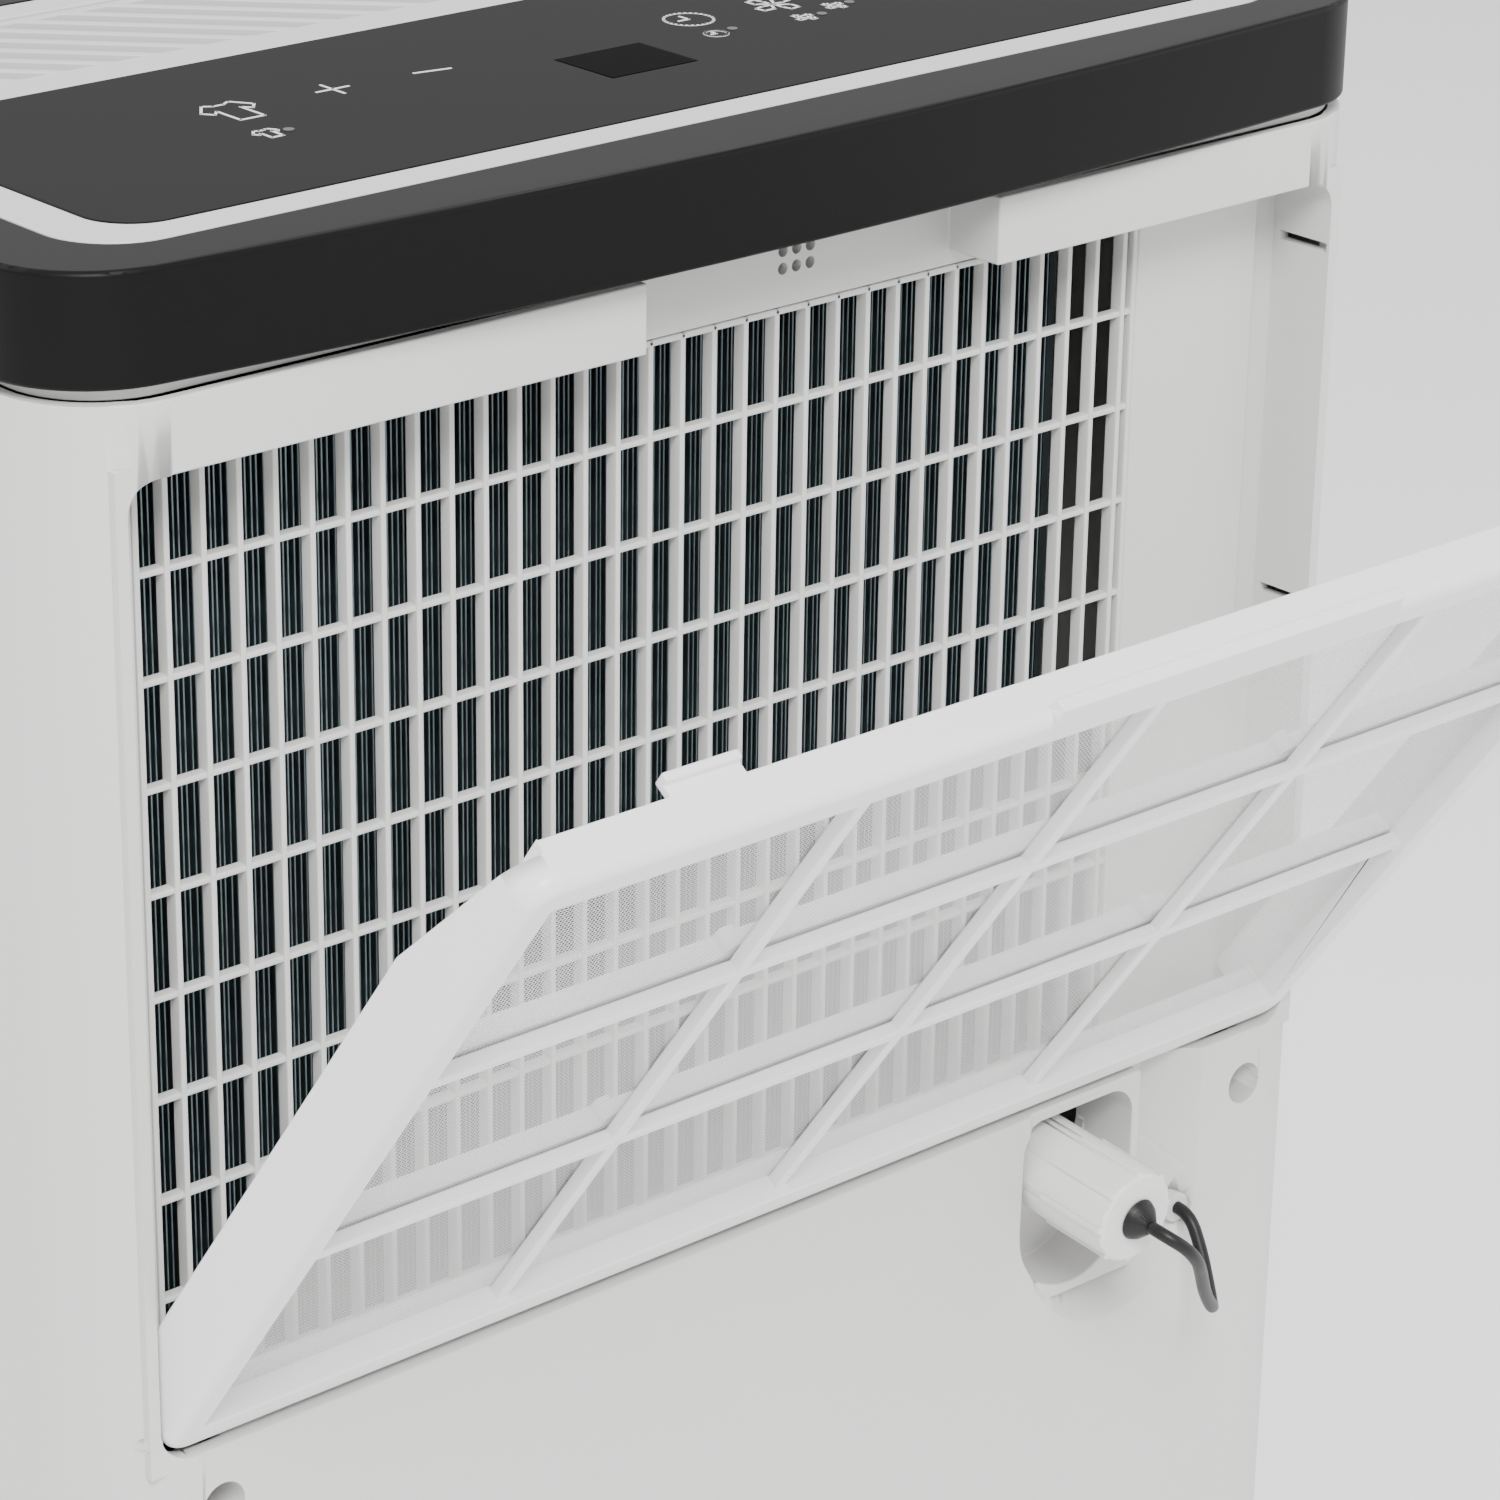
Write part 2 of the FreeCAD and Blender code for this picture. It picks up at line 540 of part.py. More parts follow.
def top_frame():
    """The pale plate that closes the shells and holds the cover; only its edge shows in the groove."""
    plate = new_body("top_frame")
    flat = sketch(plate, "XY_Plane")
    side, end = "body_width / 2 - cover_lip", "body_depth / 2 - cover_lip"
    rectangle(flat, f"-({side})", side, f"-({end})", end)
    feature(plate, "Pad", flat, "cover_gap")
    dress(plate, "Fillet", corner_test(side, end), "body_corner - cover_lip")
    flat = sketch(plate, "XY_Plane")
    edge = "cover_lip * 6"
    rectangle(flat, f"-({side} - {edge})", f"{side} - {edge}", f"-({end} - {edge})",
              f"{GRILLE_FACE} - {edge}")
    feature(plate, "Pocket", flat, through=True)
    flat = sketch(plate, "XY_Plane")
    rectangle(flat, "-finger_left", "finger_right", GRILLE_FACE, f"{REAR} + wall")
    feature(plate, "Pocket", flat, through=True)
    place(plate, z="housing_top")
    return keep(plate, "top_frame")


def insert_opening(low, high, grow="0"):
    """The space in the cover that the light frame fills, with its four bevelled corners."""
    half = f"insert_width / 2 + ({grow})"
    rear = f"{REAR} - insert_rear + ({grow})"
    front = f"{REAR} - insert_rear - insert_length - ({grow})"
    slab = block(f"-({half})", half, front, rear, low, high)
    return soften(slab, lambda edge: along(edge, 2), "insert_corner")


def top_cover():
    """The dark top moulding: a shallow lid with a slightly bowed rim and a large opening."""
    outer = bowed_slab("0", COVER_LOW, COVER_TOP, "body_corner + cover_overhang")
    rim = soften(outer, lambda edge: near(edge, z=num(COVER_TOP)), "cover_edge")
    inner = bowed_slab("-wall", f"{COVER_LOW} - wall", f"{COVER_TOP} - wall", "body_corner - wall")
    hole = insert_opening(f"{COVER_TOP} - wall * 2", f"{COVER_TOP} + wall", "fit_gap")
    return keep(cut(rim, inner, hole), "top_cover")


def panel_slab(low, high, grow="0"):
    half = f"insert_width / 2 - panel_margin + ({grow})"
    rear = f"{REAR} - insert_rear - panel_rear + ({grow})"
    front = f"{REAR} - insert_rear - panel_rear - panel_length - ({grow})"
    slab = block(f"-({half})", half, front, rear, low, high)
    return soften(slab, lambda edge: along(edge, 2), "panel_corner")


LOUVRE_REAR = f"{REAR} - insert_rear - panel_rear - panel_length - louvre_gap"


def outlet_frame():
    """The light frame: it rings the control panel and carries the air outlet in front of it."""
    frame = insert_opening(f"{COVER_TOP} - insert_depth", COVER_TOP)
    seat = panel_slab(f"{COVER_TOP} - panel_seat", f"{COVER_TOP} + wall", "fit_gap")
    below = panel_slab(f"{COVER_TOP} - insert_depth - wall", COVER_TOP, "-wall * 2")
    half = "louvre_width / 2"
    duct = block(f"-({half})", half, f"{LOUVRE_REAR} - louvre_length", LOUVRE_REAR,
                 f"{COVER_TOP} - insert_depth - wall", f"{COVER_TOP} + wall")
    return keep(cut(frame, seat, below, duct), "outlet_frame")


def outlet_slats():
    """The slanted slats of the air outlet, tied by a rail along each side and trimmed to the opening."""
    half = f"louvre_width / 2 - fit_gap"
    front, rear = f"{LOUVRE_REAR} - louvre_length + fit_gap", f"{LOUVRE_REAR} - fit_gap"
    low, high = f"{COVER_TOP} - slat_depth", f"{COVER_TOP} - slat_thick / 4"
    count = int(num("(louvre_width + louvre_length) / louvre_pitch"))
    slats = []
    for index in range(1, count):
        slat = doc.addObject("Part::Box", "Slat")
        slat.Placement.Rotation = FreeCAD.Rotation(FreeCAD.Vector(0, 0, 1), -num("slat_angle"))
        bind(slat, "Placement.Rotation.Angle", "-slat_angle")
        bind(slat, "Length", "louvre_length * 2")
        bind(slat, "Width", "slat_thick")
        bind(slat, "Height", f"({high}) - ({low})")
        bind(slat, "Placement.Base.x", f"-louvre_width / 2 - louvre_length + {index} * louvre_pitch")
        bind(slat, "Placement.Base.y", f"({rear}) + fit_gap * 2")
        bind(slat, "Placement.Base.z", low)
        slats.append(slat)
    trimmed = doc.addObject("Part::MultiCommon", "Trimmed")
    trimmed.Shapes = [fuse(*slats), block(f"-({half})", half, front, rear, low, high)]
    rails = [block(f"-({half})", half, front, f"{front} + slat_thick", low, high),
             block(f"-({half})", half, f"{rear} - slat_thick", rear, low, f"{high} - slat_thick")]
    ends = [block(f"-({half})", f"slat_thick - ({half})", front, rear, low, high),
            block(f"{half} - slat_thick", half, front, rear, low, high)]
    return keep(fuse(trimmed, *rails, *ends), "outlet_slats")


DISPLAY_REAR = f"{REAR} - insert_rear - panel_rear - display_rear"


def control_panel():
    """The dark touch panel, with a sunk window for the display; its marks are printed."""
    plate = panel_slab(f"{COVER_TOP} - panel_thick", COVER_TOP)
    window = block("-display_left", "display_width - display_left", f"{DISPLAY_REAR} - display_length",
                   DISPLAY_REAR, f"{COVER_TOP} - display_sink", f"{COVER_TOP} + wall")
    return keep(cut(plate, window), "control_panel")


def display_window():
    window = block("fit_gap / 3 - display_left", "display_width - display_left - fit_gap / 3",
                   f"{DISPLAY_REAR} - display_length + fit_gap / 3", f"{DISPLAY_REAR} - fit_gap / 3",
                   f"{COVER_TOP} - display_sink", COVER_TOP)
    return keep(window, "display_window")


def control_board():
    """The circuit board below the panel, with the display unit and the touch springs on it."""
    low = f"{COVER_TOP} - insert_depth - 7"
    rear = f"{REAR} - insert_rear - panel_rear - wall * 4"
    board = block("-insert_width * 0.36", "insert_width * 0.36", f"{rear} - panel_length * 0.7", rear,
                  low, f"{low} + 1.6")
    unit = block("3 - display_left", "display_width - display_left - 3",
                 f"{DISPLAY_REAR} - display_length + 3",
                 f"{DISPLAY_REAR} - 3", f"{low} + 1.6", f"{COVER_TOP} - panel_thick - 1")
    springs = [rod("Z", f"insert_width * {share}", f"{DISPLAY_REAR} - display_length - 8", f"{low} + 1.6",
                   "4", "insert_depth - panel_thick") for share in (-0.28, -0.14, 0.14, 0.28)]
    return keep(fuse(board, unit, *springs), "control_board")


# ---------------------------------------------------------------- intake grille and filter
def intake_grille():
    """The fixed intake grille: upright bars in front, level bars a little behind them."""
    body = new_body("intake_grille")
    flat = sketch(body, "XZ_Plane")
    gap = "fit_gap / 2"
    left, right = f"{GRILLE_RIGHT} + {gap}", f"grille_start - {gap}"
    low, high = f"{GRILLE_LOW} + {gap}", f"grille_top - {gap}"
    rim = "grille_bar"
    rectangle(flat, left, right, low, high)
    rectangle(flat, f"{left} + {rim}", f"{right} - {rim}", f"{low} + {rim}", f"{high} - {rim}")
    feature(body, "Pad", flat, "grille_thick")
    flat = sketch(body, "XZ_Plane")
    rectangle(flat, "grille_start - grille_pitch", "grille_start - grille_pitch + grille_bar", low, high)
    bar = feature(body, "Pad", flat, "grille_thick")
    line = body.Origin.OriginFeatures[0]
    made = body.newObject("PartDesign::LinearPattern", "Uprights")
    made.Originals = [bar]
    made.Direction = (line, [""])
    made.Reversed = True
    count = int(num("grille_columns"))
    made.Occurrences = count
    bind(made, "Length", f"grille_pitch * {count - 1}")
    body.Tip = made
    doc.recompute()
    flat = sketch(body, "XZ_Plane", "grille_setback")
    rectangle(flat, left, right, "grille_top - grille_row", "grille_top - grille_row + grille_bar")
    cross = feature(body, "Pad", flat, "grille_thick - grille_setback * 2")
    made = body.newObject("PartDesign::LinearPattern", "Levels")
    made.Originals = [cross]
    made.Direction = (body.Origin.OriginFeatures[2], [""])
    made.Reversed = True
    rows = int(num("grille_rows"))
    made.Occurrences = rows - 1
    bind(made, "Length", f"grille_row * {rows - 2}")
    body.Tip = made
    doc.recompute()
    place(body, y=GRILLE_FACE)
    return keep(body, "intake_grille")


def filter_frame():
    """The tip-out filter's frame, modelled closed about its pivot pins and then tipped out."""
    body = new_body("filter_frame")
    side, inner = FILTER_SIDE, f"{FILTER_SIDE} - filter_rail"
    low, high = "-filter_foot", "filter_reach"
    flat = sketch(body, "XZ_Plane", "-filter_face")
    rectangle(flat, f"-({inner}) - 1", f"{inner} + 1", low, high)
    rectangle(flat, f"-({inner})", inner, "filter_bottom_rail - filter_foot",
              "filter_reach - filter_top_rail")
    feature(body, "Pad", flat, "filter_top_depth")
    back = "filter_face - filter_rail_depth"
    for start in (inner, f"-({side})"):
        flat = sketch(body, "YZ_Plane", start)
        polygon(flat, [(back, low), ("filter_face", low), ("filter_face", high),
                       ("filter_face - filter_end_depth", high),
                       ("filter_face - filter_top_depth - 2", "filter_reach - filter_taper / 2"),
                       (back, "filter_reach - filter_taper")])
        feature(body, "Pad", flat, "filter_rail")
    flat = sketch(body, "XZ_Plane", "-filter_rib_front")
    window = "(filter_reach - filter_top_rail - filter_bottom_rail + filter_foot)"
    for share in (-1, 0, 1):
        centre = f"{share} * ({inner}) / 2"
        rectangle(flat, f"{centre} - filter_rib / 2", f"{centre} + filter_rib / 2",
                  "filter_bottom_rail - filter_foot - 1", "filter_reach - filter_top_rail + 1")
    feature(body, "Pad", flat, "filter_rib_front + filter_mesh_back")
    flat = sketch(body, "XZ_Plane", "-filter_rib_front")
    for share in (1, 2):
        centre = f"filter_bottom_rail - filter_foot + {window} * {share} / 3"
        rectangle(flat, f"-({inner}) - 1", f"{inner} + 1", f"{centre} - filter_rib / 2",
                  f"{centre} + filter_rib / 2")
    feature(body, "Pad", flat, "filter_rib_front + filter_mesh_back")
    flat = sketch(body, "XZ_Plane", "filter_mesh_back + filter_mesh_thick + fit_gap / 3")
    for share in (1, 2):
        centre = f"filter_bottom_rail - filter_foot + {window} * {share} / 3"
        rectangle(flat, f"-({inner}) - 1", f"{inner} + 1", f"{centre} - filter_rib / 2",
                  f"{centre} + filter_rib / 2")
    feature(body, "Pad", flat, "filter_shelf - filter_mesh_back - filter_mesh_thick")
    ends, reach = (num(low), num(high)), num(side)
    corners = [(at, end) for at in (reach, -reach) for end in ends]
    dress(body, "Fillet", lambda edge: along(edge, 1) and any(near(edge, x=at, z=end) for at, end in corners),
          "recess_corner")
    filter_grip(body)
    filter_pins(body)
    place(body, y=PIVOT_Y, z=PIVOT_Z, axis=(1, 0, 0), angle="-filter_tilt")
    return keep(body, "filter_frame")


def filter_grip(body):
    """The finger lip on the top rail and the latch tongue with its ridge."""
    flat = sketch(body, "XZ_Plane", "-filter_face")
    rectangle(flat, "1 - finger_left", "finger_right - 1", "filter_reach - 1", "filter_reach + filter_lip")
    feature(body, "Pad", flat, "filter_lip_thick")
    right = f"{FILTER_SIDE} - latch_from_edge"
    flat = sketch(body, "XZ_Plane", "filter_top_depth - filter_face")
    rectangle(flat, f"{right} - latch_width", right, "filter_reach - 2", "filter_reach")
    feature(body, "Pad", flat, "latch_reach")
    flat = sketch(body, "XZ_Plane", "filter_top_depth - filter_face + latch_reach / 2")
    rectangle(flat, f"{right} - latch_width", right, "filter_reach - 2", "filter_reach + latch_ridge")
    feature(body, "Pad", flat, "latch_reach / 2")
    low = num("-filter_foot")
    face = num("filter_face")
    dress(body, "Fillet", lambda edge: along(edge, 0) and near(edge, y=face, z=low), "filter_foot * 0.8")


def filter_pins(body):
    """A pivot pin on each side, which turns in a hole in the recess wall."""
    for sign in ("", "-"):
        flat = sketch(body, "YZ_Plane", f"{sign}({FILTER_SIDE})")
        circle(flat, "0", "0", "filter_pin")
        feature(body, "Pad", flat, "filter_side_gap + wall * 0.8", backwards=bool(sign))


def filter_mesh():
    """The nylon mesh that is moulded to the back of the filter's ribs."""
    inner = f"{FILTER_SIDE} - filter_rail - fit_gap / 3"
    body = new_body("filter_mesh")
    flat = sketch(body, "XZ_Plane", "filter_mesh_back")
    rectangle(flat, f"-({inner})", inner, "filter_bottom_rail - filter_foot + fit_gap / 3",
              "filter_reach - filter_top_rail - fit_gap / 3")
    feature(body, "Pad", flat, "filter_mesh_thick")
    place(body, y=PIVOT_Y, z=PIVOT_Z, axis=(1, 0, 0), angle="-filter_tilt")
    return keep(body, "filter_mesh")


# ---------------------------------------------------------------- drain port
def seat_on_port(thing, out="0"):
    """Turn a piece modelled along +Z onto the port's axis, a bound distance out from the rear face."""
    place(thing, x="-port_offset", y=f"{REAR} + ({out}) * cos(port_tilt)",
          z=f"port_height - ({out}) * sin(port_tilt)",
          axis=(1, 0, 0), angle="-90 - port_tilt")
    return thing


def revolved(name, outline):
    """A body turned about its own Z axis from an outline of radii and heights."""
    body = new_body(name)
    flat = sketch(body, "XZ_Plane")
    polygon(flat, outline)
    made = body.newObject("PartDesign::Revolution", "Revolution")
    made.Profile = flat
    made.ReferenceAxis = (flat, ["V_Axis"])
    made.Angle = 360
    doc.recompute()
    return body


def drain_cap():
    """The ribbed cap over the drain spigot, with a hole in its face for the plug."""
    back = "cap_out - cap_length"
    hole = "plug_stem + fit_gap"
    bore = "cap_radius - cap_wall"
    body = revolved("drain_cap", [(bore, back), ("cap_radius", back), ("cap_radius", "cap_out - 1"),
                                  ("cap_radius - 1", "cap_out"), (hole, "cap_out"),
                                  (hole, "cap_out - cap_wall"), (bore, "cap_out - cap_wall")])
    flat = sketch(body, "XY_Plane", "cap_out - cap_grip")
    rectangle(flat, "-cap_rib_width / 2", "cap_rib_width / 2", "cap_radius - cap_wall / 2",
              "cap_radius + cap_rib")
    rib = feature(body, "Pad", flat, "cap_grip - 1")
    ring = body.newObject("PartDesign::PolarPattern", "Ribs")
    ring.Originals = [rib]
    ring.Axis = (next(item for item in body.Origin.OriginFeatures if item.Role == "Z_Axis"), [""])
    ring.Angle = 360
    ring.Occurrences = int(num("cap_ribs"))
    body.Tip = ring
    doc.recompute()
    seat_on_port(body)
    return keep(body, "drain_cap")


def drain_plug():
    """The rubber plug in the middle of the cap; its cone runs out into the tether."""
    thin = "tether_diameter / 2"
    body = revolved("drain_plug", [("0", "cap_out - plug_stem_length"),
                                   ("plug_stem", "cap_out - plug_stem_length"),
                                   ("plug_stem", "cap_out + fit_gap"), ("plug_radius", "cap_out + fit_gap"),
                                   ("plug_radius - 0.6", "cap_out + plug_cone * 0.35"),
                                   (thin, "cap_out + plug_cone"), ("0", "cap_out + plug_cone")])
    seat_on_port(body)
    return keep(body, "drain_plug")


def condensate_tray():
    """The tray that stands under both coils, with the drain spigot moulded on its rear wall."""
    tray = block("-tray_left", "tray_right", "tray_front", "tray_rear", PLATE_TOP,
                 f"{PLATE_TOP} + tray_height")
    bore = "cap_radius - cap_wall - spigot_play"
    length = "cap_out + body_depth / 2 - tray_rear + tray_wall - cap_wall - 1"
    tube = rod("Z", "0", "0", "0", bore, length)
    hollow = rod("Z", "0", "0", "0", f"{bore} - tray_wall", f"{length} + 1")
    for piece in (tube, hollow):
        seat_on_port(piece, "tray_rear - tray_wall - body_depth / 2")
    inside = block("tray_wall - tray_left", "tray_right - tray_wall", "tray_front + tray_wall",
                   "tray_rear - tray_wall", f"{PLATE_TOP} + tray_wall", f"{PLATE_TOP} + tray_height + 1")
    spout = rod("Z", "-fill_offset", "tray_front + tray_wall + 9", f"{PLATE_TOP} - 1", "6", "tray_wall + 2")
    return keep(cut(fuse(tray, tube), inside, hollow, spout), "condensate_tray")


def arc_path(points, radii):
    """Straight runs joined by tangent arcs: the middle line of a cord or pipe."""
    spots = [FreeCAD.Vector(*point) for point in points]
    edges = []
    here = spots[0]
    for index in range(1, len(spots) - 1):
        before = (spots[index - 1] - spots[index]).normalize()
        after = (spots[index + 1] - spots[index]).normalize()
        half = before.getAngle(after) / 2
        reach = radii[index - 1] / math.tan(half)
        start, end = spots[index] + before * reach, spots[index] + after * reach
        inward = (before + after).normalize()
        middle = spots[index] + inward * (radii[index - 1] / math.sin(half) - radii[index - 1])
        edges.append(Part.LineSegment(here, start).toShape())
        edges.append(Part.Arc(start, middle, end).toShape())
        here = end
    edges.append(Part.LineSegment(here, spots[-1]).toShape())
    return Part.Wire(edges)


def fair_radii(points):
    """The largest arc at each corner: 0.45 of its shorter run over the tangent of half its turn."""
    spots = [FreeCAD.Vector(*point) for point in points]
    radii = []
    for index in range(1, len(spots) - 1):
        before, after = spots[index] - spots[index - 1], spots[index + 1] - spots[index]
        turn = before.getAngle(after)
        radii.append(0.45 * min(before.Length, after.Length) / math.tan(turn / 2))
    return radii


def tube(name, points, radius, radii):
    """A round tube along runs and arcs, with its volume checked against its length."""
    wire = arc_path(points, radii)
    start = wire.Edges[0]
    ring = Part.Wire(Part.makeCircle(radius, start.Vertexes[0].Point,
                                     start.tangentAt(start.FirstParameter)))
    shape = wire.makePipeShell([ring], True, False)
    wanted = math.pi * radius ** 2 * wire.Length
    if abs(shape.Volume - wanted) > wanted * 0.02:
        raise ValueError(f"{name} is not its section times its length")
    thing = doc.addObject("Part::Feature", name)
    thing.Shape = shape
    return thing


# The tether's middle line beyond the plug, measured from the plug's tip: it droops, folds and comes back.
TETHER_ROUTE = [(0, 0, 0), (0, 4.2, -0.37), (-3.6, 7, -3.4), (-8.6, 6, -8.6), (-13.6, 2.6, -14.6),
                (-19, -1.4, -21.6), (-25, -5.4, -28.6), (-30.4, -8.6, -34), (-34.6, -12.6, -36.4),
                (-37, -16.6, -32.4), (-38.2, -20.2, -26.4)]


def tether_points():
    """The route, moved to the plug's tip, and the last run, square onto the anchor's end."""
    out = num("cap_out + plug_cone")
    slope = math.radians(num("port_tilt"))
    tip = (num("-port_offset"), num(REAR) + out * math.cos(slope),
           num("port_height") - out * math.sin(slope))
    points = [tuple(base + step for base, step in zip(tip, spot)) for spot in TETHER_ROUTE]
    for stand in ("anchor_run", "0"):
        points.append((num("-anchor_offset"), num(f"{REAR} - anchor_sink + {stand}"), num("anchor_height")))
    return points


def drain_tether():
    """The limp rubber strap that ties the plug to the housing."""
    points = tether_points()
    return keep(tube("Tether", points, num("tether_diameter") / 2, fair_radii(points)), "drain_tether")


def tether_anchor():
    """The stud through the rear face that holds the tether's far end."""
    seat = f"{REAR} - dish_depth - wall"
    stud = rod("Y", "-anchor_offset", seat, "anchor_height", "anchor_radius",
               f"{REAR} - anchor_sink - ({seat})")
    return keep(stud, "tether_anchor")


# ---------------------------------------------------------------- refrigeration circuit
def chassis_plate():
    """The shelf over the tank and compressor that everything above stands on, with its drip hole."""
    plate = block("-chassis_side", "chassis_side", "-chassis_front", "chassis_rear", "plate_height",
                  PLATE_TOP)
    drip = rod("Z", "-fill_offset", "tray_front + tray_wall + 9", "plate_height - 1", "8",
               "plate_thick + 2")
    return keep(cut(plate, drip), "chassis_plate")


def bay_wall():
    """The upright wall between the tank bay and the compressor."""
    wall = block("-chassis_side", "chassis_side", "bay_wall_front", "bay_wall_front + bay_wall_thick",
                 "base_top", "plate_height")
    return keep(wall, "bay_wall")


def drip_chute():
    """The chute under the shelf that leads condensate forward into the tank's lid."""
    rear = "tray_front + tray_wall + 18"
    low = "plate_height - 7"
    trough = block("-fill_offset - 9", "9 - fill_offset", "bay_wall_front + bay_wall_thick", rear, low,
                   "plate_height")
    hollow = block("-fill_offset - 8", "8 - fill_offset", "bay_wall_front", f"{rear} - 1", f"{low} + 1",
                   "plate_height + 1")
    return keep(cut(trough, hollow), "drip_chute")


def coil_core(front, name):
    """A finned coil: a block of fins between two end plates that stand on the tray."""
    core = block("-coil_left", "coil_right", front, f"{front} + coil_depth", "coil_low", "coil_top")
    ends = [block(f"{at} - coil_end", at, front, f"{front} + coil_depth", f"{PLATE_TOP} + tray_wall",
                  "coil_top + coil_end") for at in ("-coil_left", "coil_right + coil_end")]
    return keep(fuse(core, *ends), name)


def evaporator():
    return coil_core("evaporator_front", "evaporator")


def condenser():
    return coil_core("condenser_front", "condenser")


def coil_bends(front, name):
    """The copper return bends that stand out of a coil's end plates."""
    bends = []
    rows = int(num("(coil_top - coil_low) / grille_row"))
    for row in range(rows):
        height = f"coil_low + grille_row * {row + 0.5}"
        for share in (0.28, 0.72):
            depth = f"{front} + coil_depth * {share}"
            bends.append(rod("X", "coil_right + coil_end", depth, height, "pipe_radius", "coil_bend"))
            bends.append(rod("X", "-coil_left - coil_end - coil_bend", depth, height, "pipe_radius",
                             "coil_bend"))
    return keep(fuse(*bends), name)


def evaporator_bends():
    return coil_bends("evaporator_front", "evaporator_bends")


def condenser_bends():
    return coil_bends("condenser_front", "condenser_bends")


def compressor():
    """The sealed rotary compressor: a drawn steel can on a three-footed base, with its terminal cover."""
    low = "base_top + foot_height"
    can = rod("Z", "compressor_offset", "compressor_back", low, "compressor_radius", "compressor_height")
    round_can = soften(can, lambda edge: edge.Curve.TypeId == "Part::GeomCircle", "compressor_radius * 0.3")
    half = "compressor_radius * 0.9"
    base = block(f"compressor_offset - {half}", f"compressor_offset + {half}", f"compressor_back - {half}",
                 f"compressor_back + {half}", low, f"{low} + 3")
    cover = block("compressor_offset - 18", "compressor_offset + 18", "compressor_back - 20",
                  "compressor_back + 20",
                  f"{low} + compressor_height - 16", f"{low} + compressor_height + 4")
    return keep(fuse(round_can, base, cover), "compressor")


def compressor_feet():
    """The rubber grommets under the compressor's base."""
    half = "compressor_radius * 0.75"
    feet = []
    for x in (f"compressor_offset - {half}", f"compressor_offset + {half}"):
        for y in (f"compressor_back - {half}", f"compressor_back + {half}"):
            feet.append(rod("Z", x, y, "base_top", "foot_radius", "foot_height"))
    return keep(fuse(*feet), "compressor_feet")


def refrigerant_pipes():
    """The hot line up to the condenser and the cold line back from the evaporator."""
    top = num("base_top + foot_height + compressor_height")
    turn = num("plate_height - pipe_drop")
    side, end = num("pipe_side"), num("coil_right + coil_end + coil_bend")
    bend = num("pipe_radius * 2")
    pipes = []
    for depth, start, row in (("condenser_front", 26, 9.5), ("evaporator_front", 14, 2.5)):
        y = num(f"{depth} + coil_depth * 0.28")
        x = num("compressor_offset") + start
        rise = num(f"coil_low + grille_row * {row}")
        points = [(x, y, top), (x, y, turn), (side, y, turn), (side, y, rise), (end, y, rise)]
        pipes.append(tube("Pipe", points, num("pipe_radius"), [bend, bend, bend]))
    return keep(fuse(*pipes), "refrigerant_pipes")


# ---------------------------------------------------------------- fan
def fan_scroll():
    """The fan's scroll housing, its chimney and the diffuser under the air outlet."""
    y0 = "fan_front - scroll_gap - scroll_wall"
    depth = "fan_width + scroll_gap * 2 + scroll_wall * 2"
    rear = f"{y0} + {depth}"
    outer = "scroll_radius + scroll_wall"
    drum = rod("Y", "0", y0, "fan_height", outer, depth)
    chimney = block("scroll_exit - scroll_wall", outer, y0, rear, "fan_height",
                    "diffuser_low + scroll_wall")
    box = block("-diffuser_half - scroll_wall", "diffuser_half + scroll_wall", y0, rear, "diffuser_low",
                f"{COVER_TOP} - diffuser_gap")
    foot = block("-scroll_radius / 3", "scroll_radius / 3", y0, rear, PLATE_TOP,
                 "fan_height - scroll_radius * 0.95")
    inner_y, inner_rear = f"{y0} + scroll_wall", f"{rear} - scroll_wall"
    hollow = [rod("Y", "0", inner_y, "fan_height", "scroll_radius", f"{depth} - scroll_wall * 2"),
              block("scroll_exit", "scroll_radius", inner_y, inner_rear, "fan_height",
                    "diffuser_low + scroll_wall * 2"),
              block("-diffuser_half", "diffuser_half", inner_y, inner_rear, "diffuser_low + scroll_wall",
                    f"{COVER_TOP}"),
              rod("Y", "0", f"{rear} - scroll_wall - 1", "fan_height", "inlet_bore", "scroll_wall + 2"),
              rod("Y", "0", f"{y0} - 1", "fan_height", "motor_shaft * 2", "scroll_wall + 2")]
    return keep(cut(fuse(drum, chimney, box, foot), *hollow), "fan_scroll")


def fan_impeller():
    """The centrifugal wheel: a back disc with its hub and shaft, a ring of blades and a front ring."""
    rear = "fan_front + fan_width"
    disc = rod("Y", "0", "fan_front", "fan_height", "fan_radius", "blade_thick * 2")
    hub = rod("Y", "0", "fan_front", "fan_height", "hub_radius", "fan_width * 0.6")
    shaft = rod("Y", "0", "fan_front - scroll_gap - scroll_wall - motor_length + 6", "fan_height",
                "motor_shaft",
                "scroll_gap + scroll_wall + motor_length")
    ring = cut(rod("Y", "0", f"{rear} - blade_thick * 2", "fan_height", "fan_radius", "blade_thick * 2"),
               rod("Y", "0", f"{rear} - blade_thick * 3", "fan_height", "fan_radius - blade_chord - 1",
                   "blade_thick * 4"))
    blades = []
    count = int(num("fan_blades"))
    for index in range(count):
        blade = doc.addObject("Part::Box", "Blade")
        angle = 360 / count * index
        blade.Placement.Rotation = FreeCAD.Rotation(FreeCAD.Vector(0, 1, 0), angle)
        bind(blade, "Length", "blade_chord - 2")
        bind(blade, "Width", "fan_width - blade_thick * 2")
        bind(blade, "Height", "blade_thick")
        reach = "(fan_radius - blade_chord)"
        bind(blade, "Placement.Base.x", f"{reach} * cos({angle}) + blade_thick / 2 * sin({angle})")
        bind(blade, "Placement.Base.y", "fan_front + blade_thick")
        bind(blade, "Placement.Base.z", f"fan_height - {reach} * sin({angle})")
        blades.append(blade)
    return keep(fuse(disc, hub, shaft, ring, *blades), "fan_impeller")


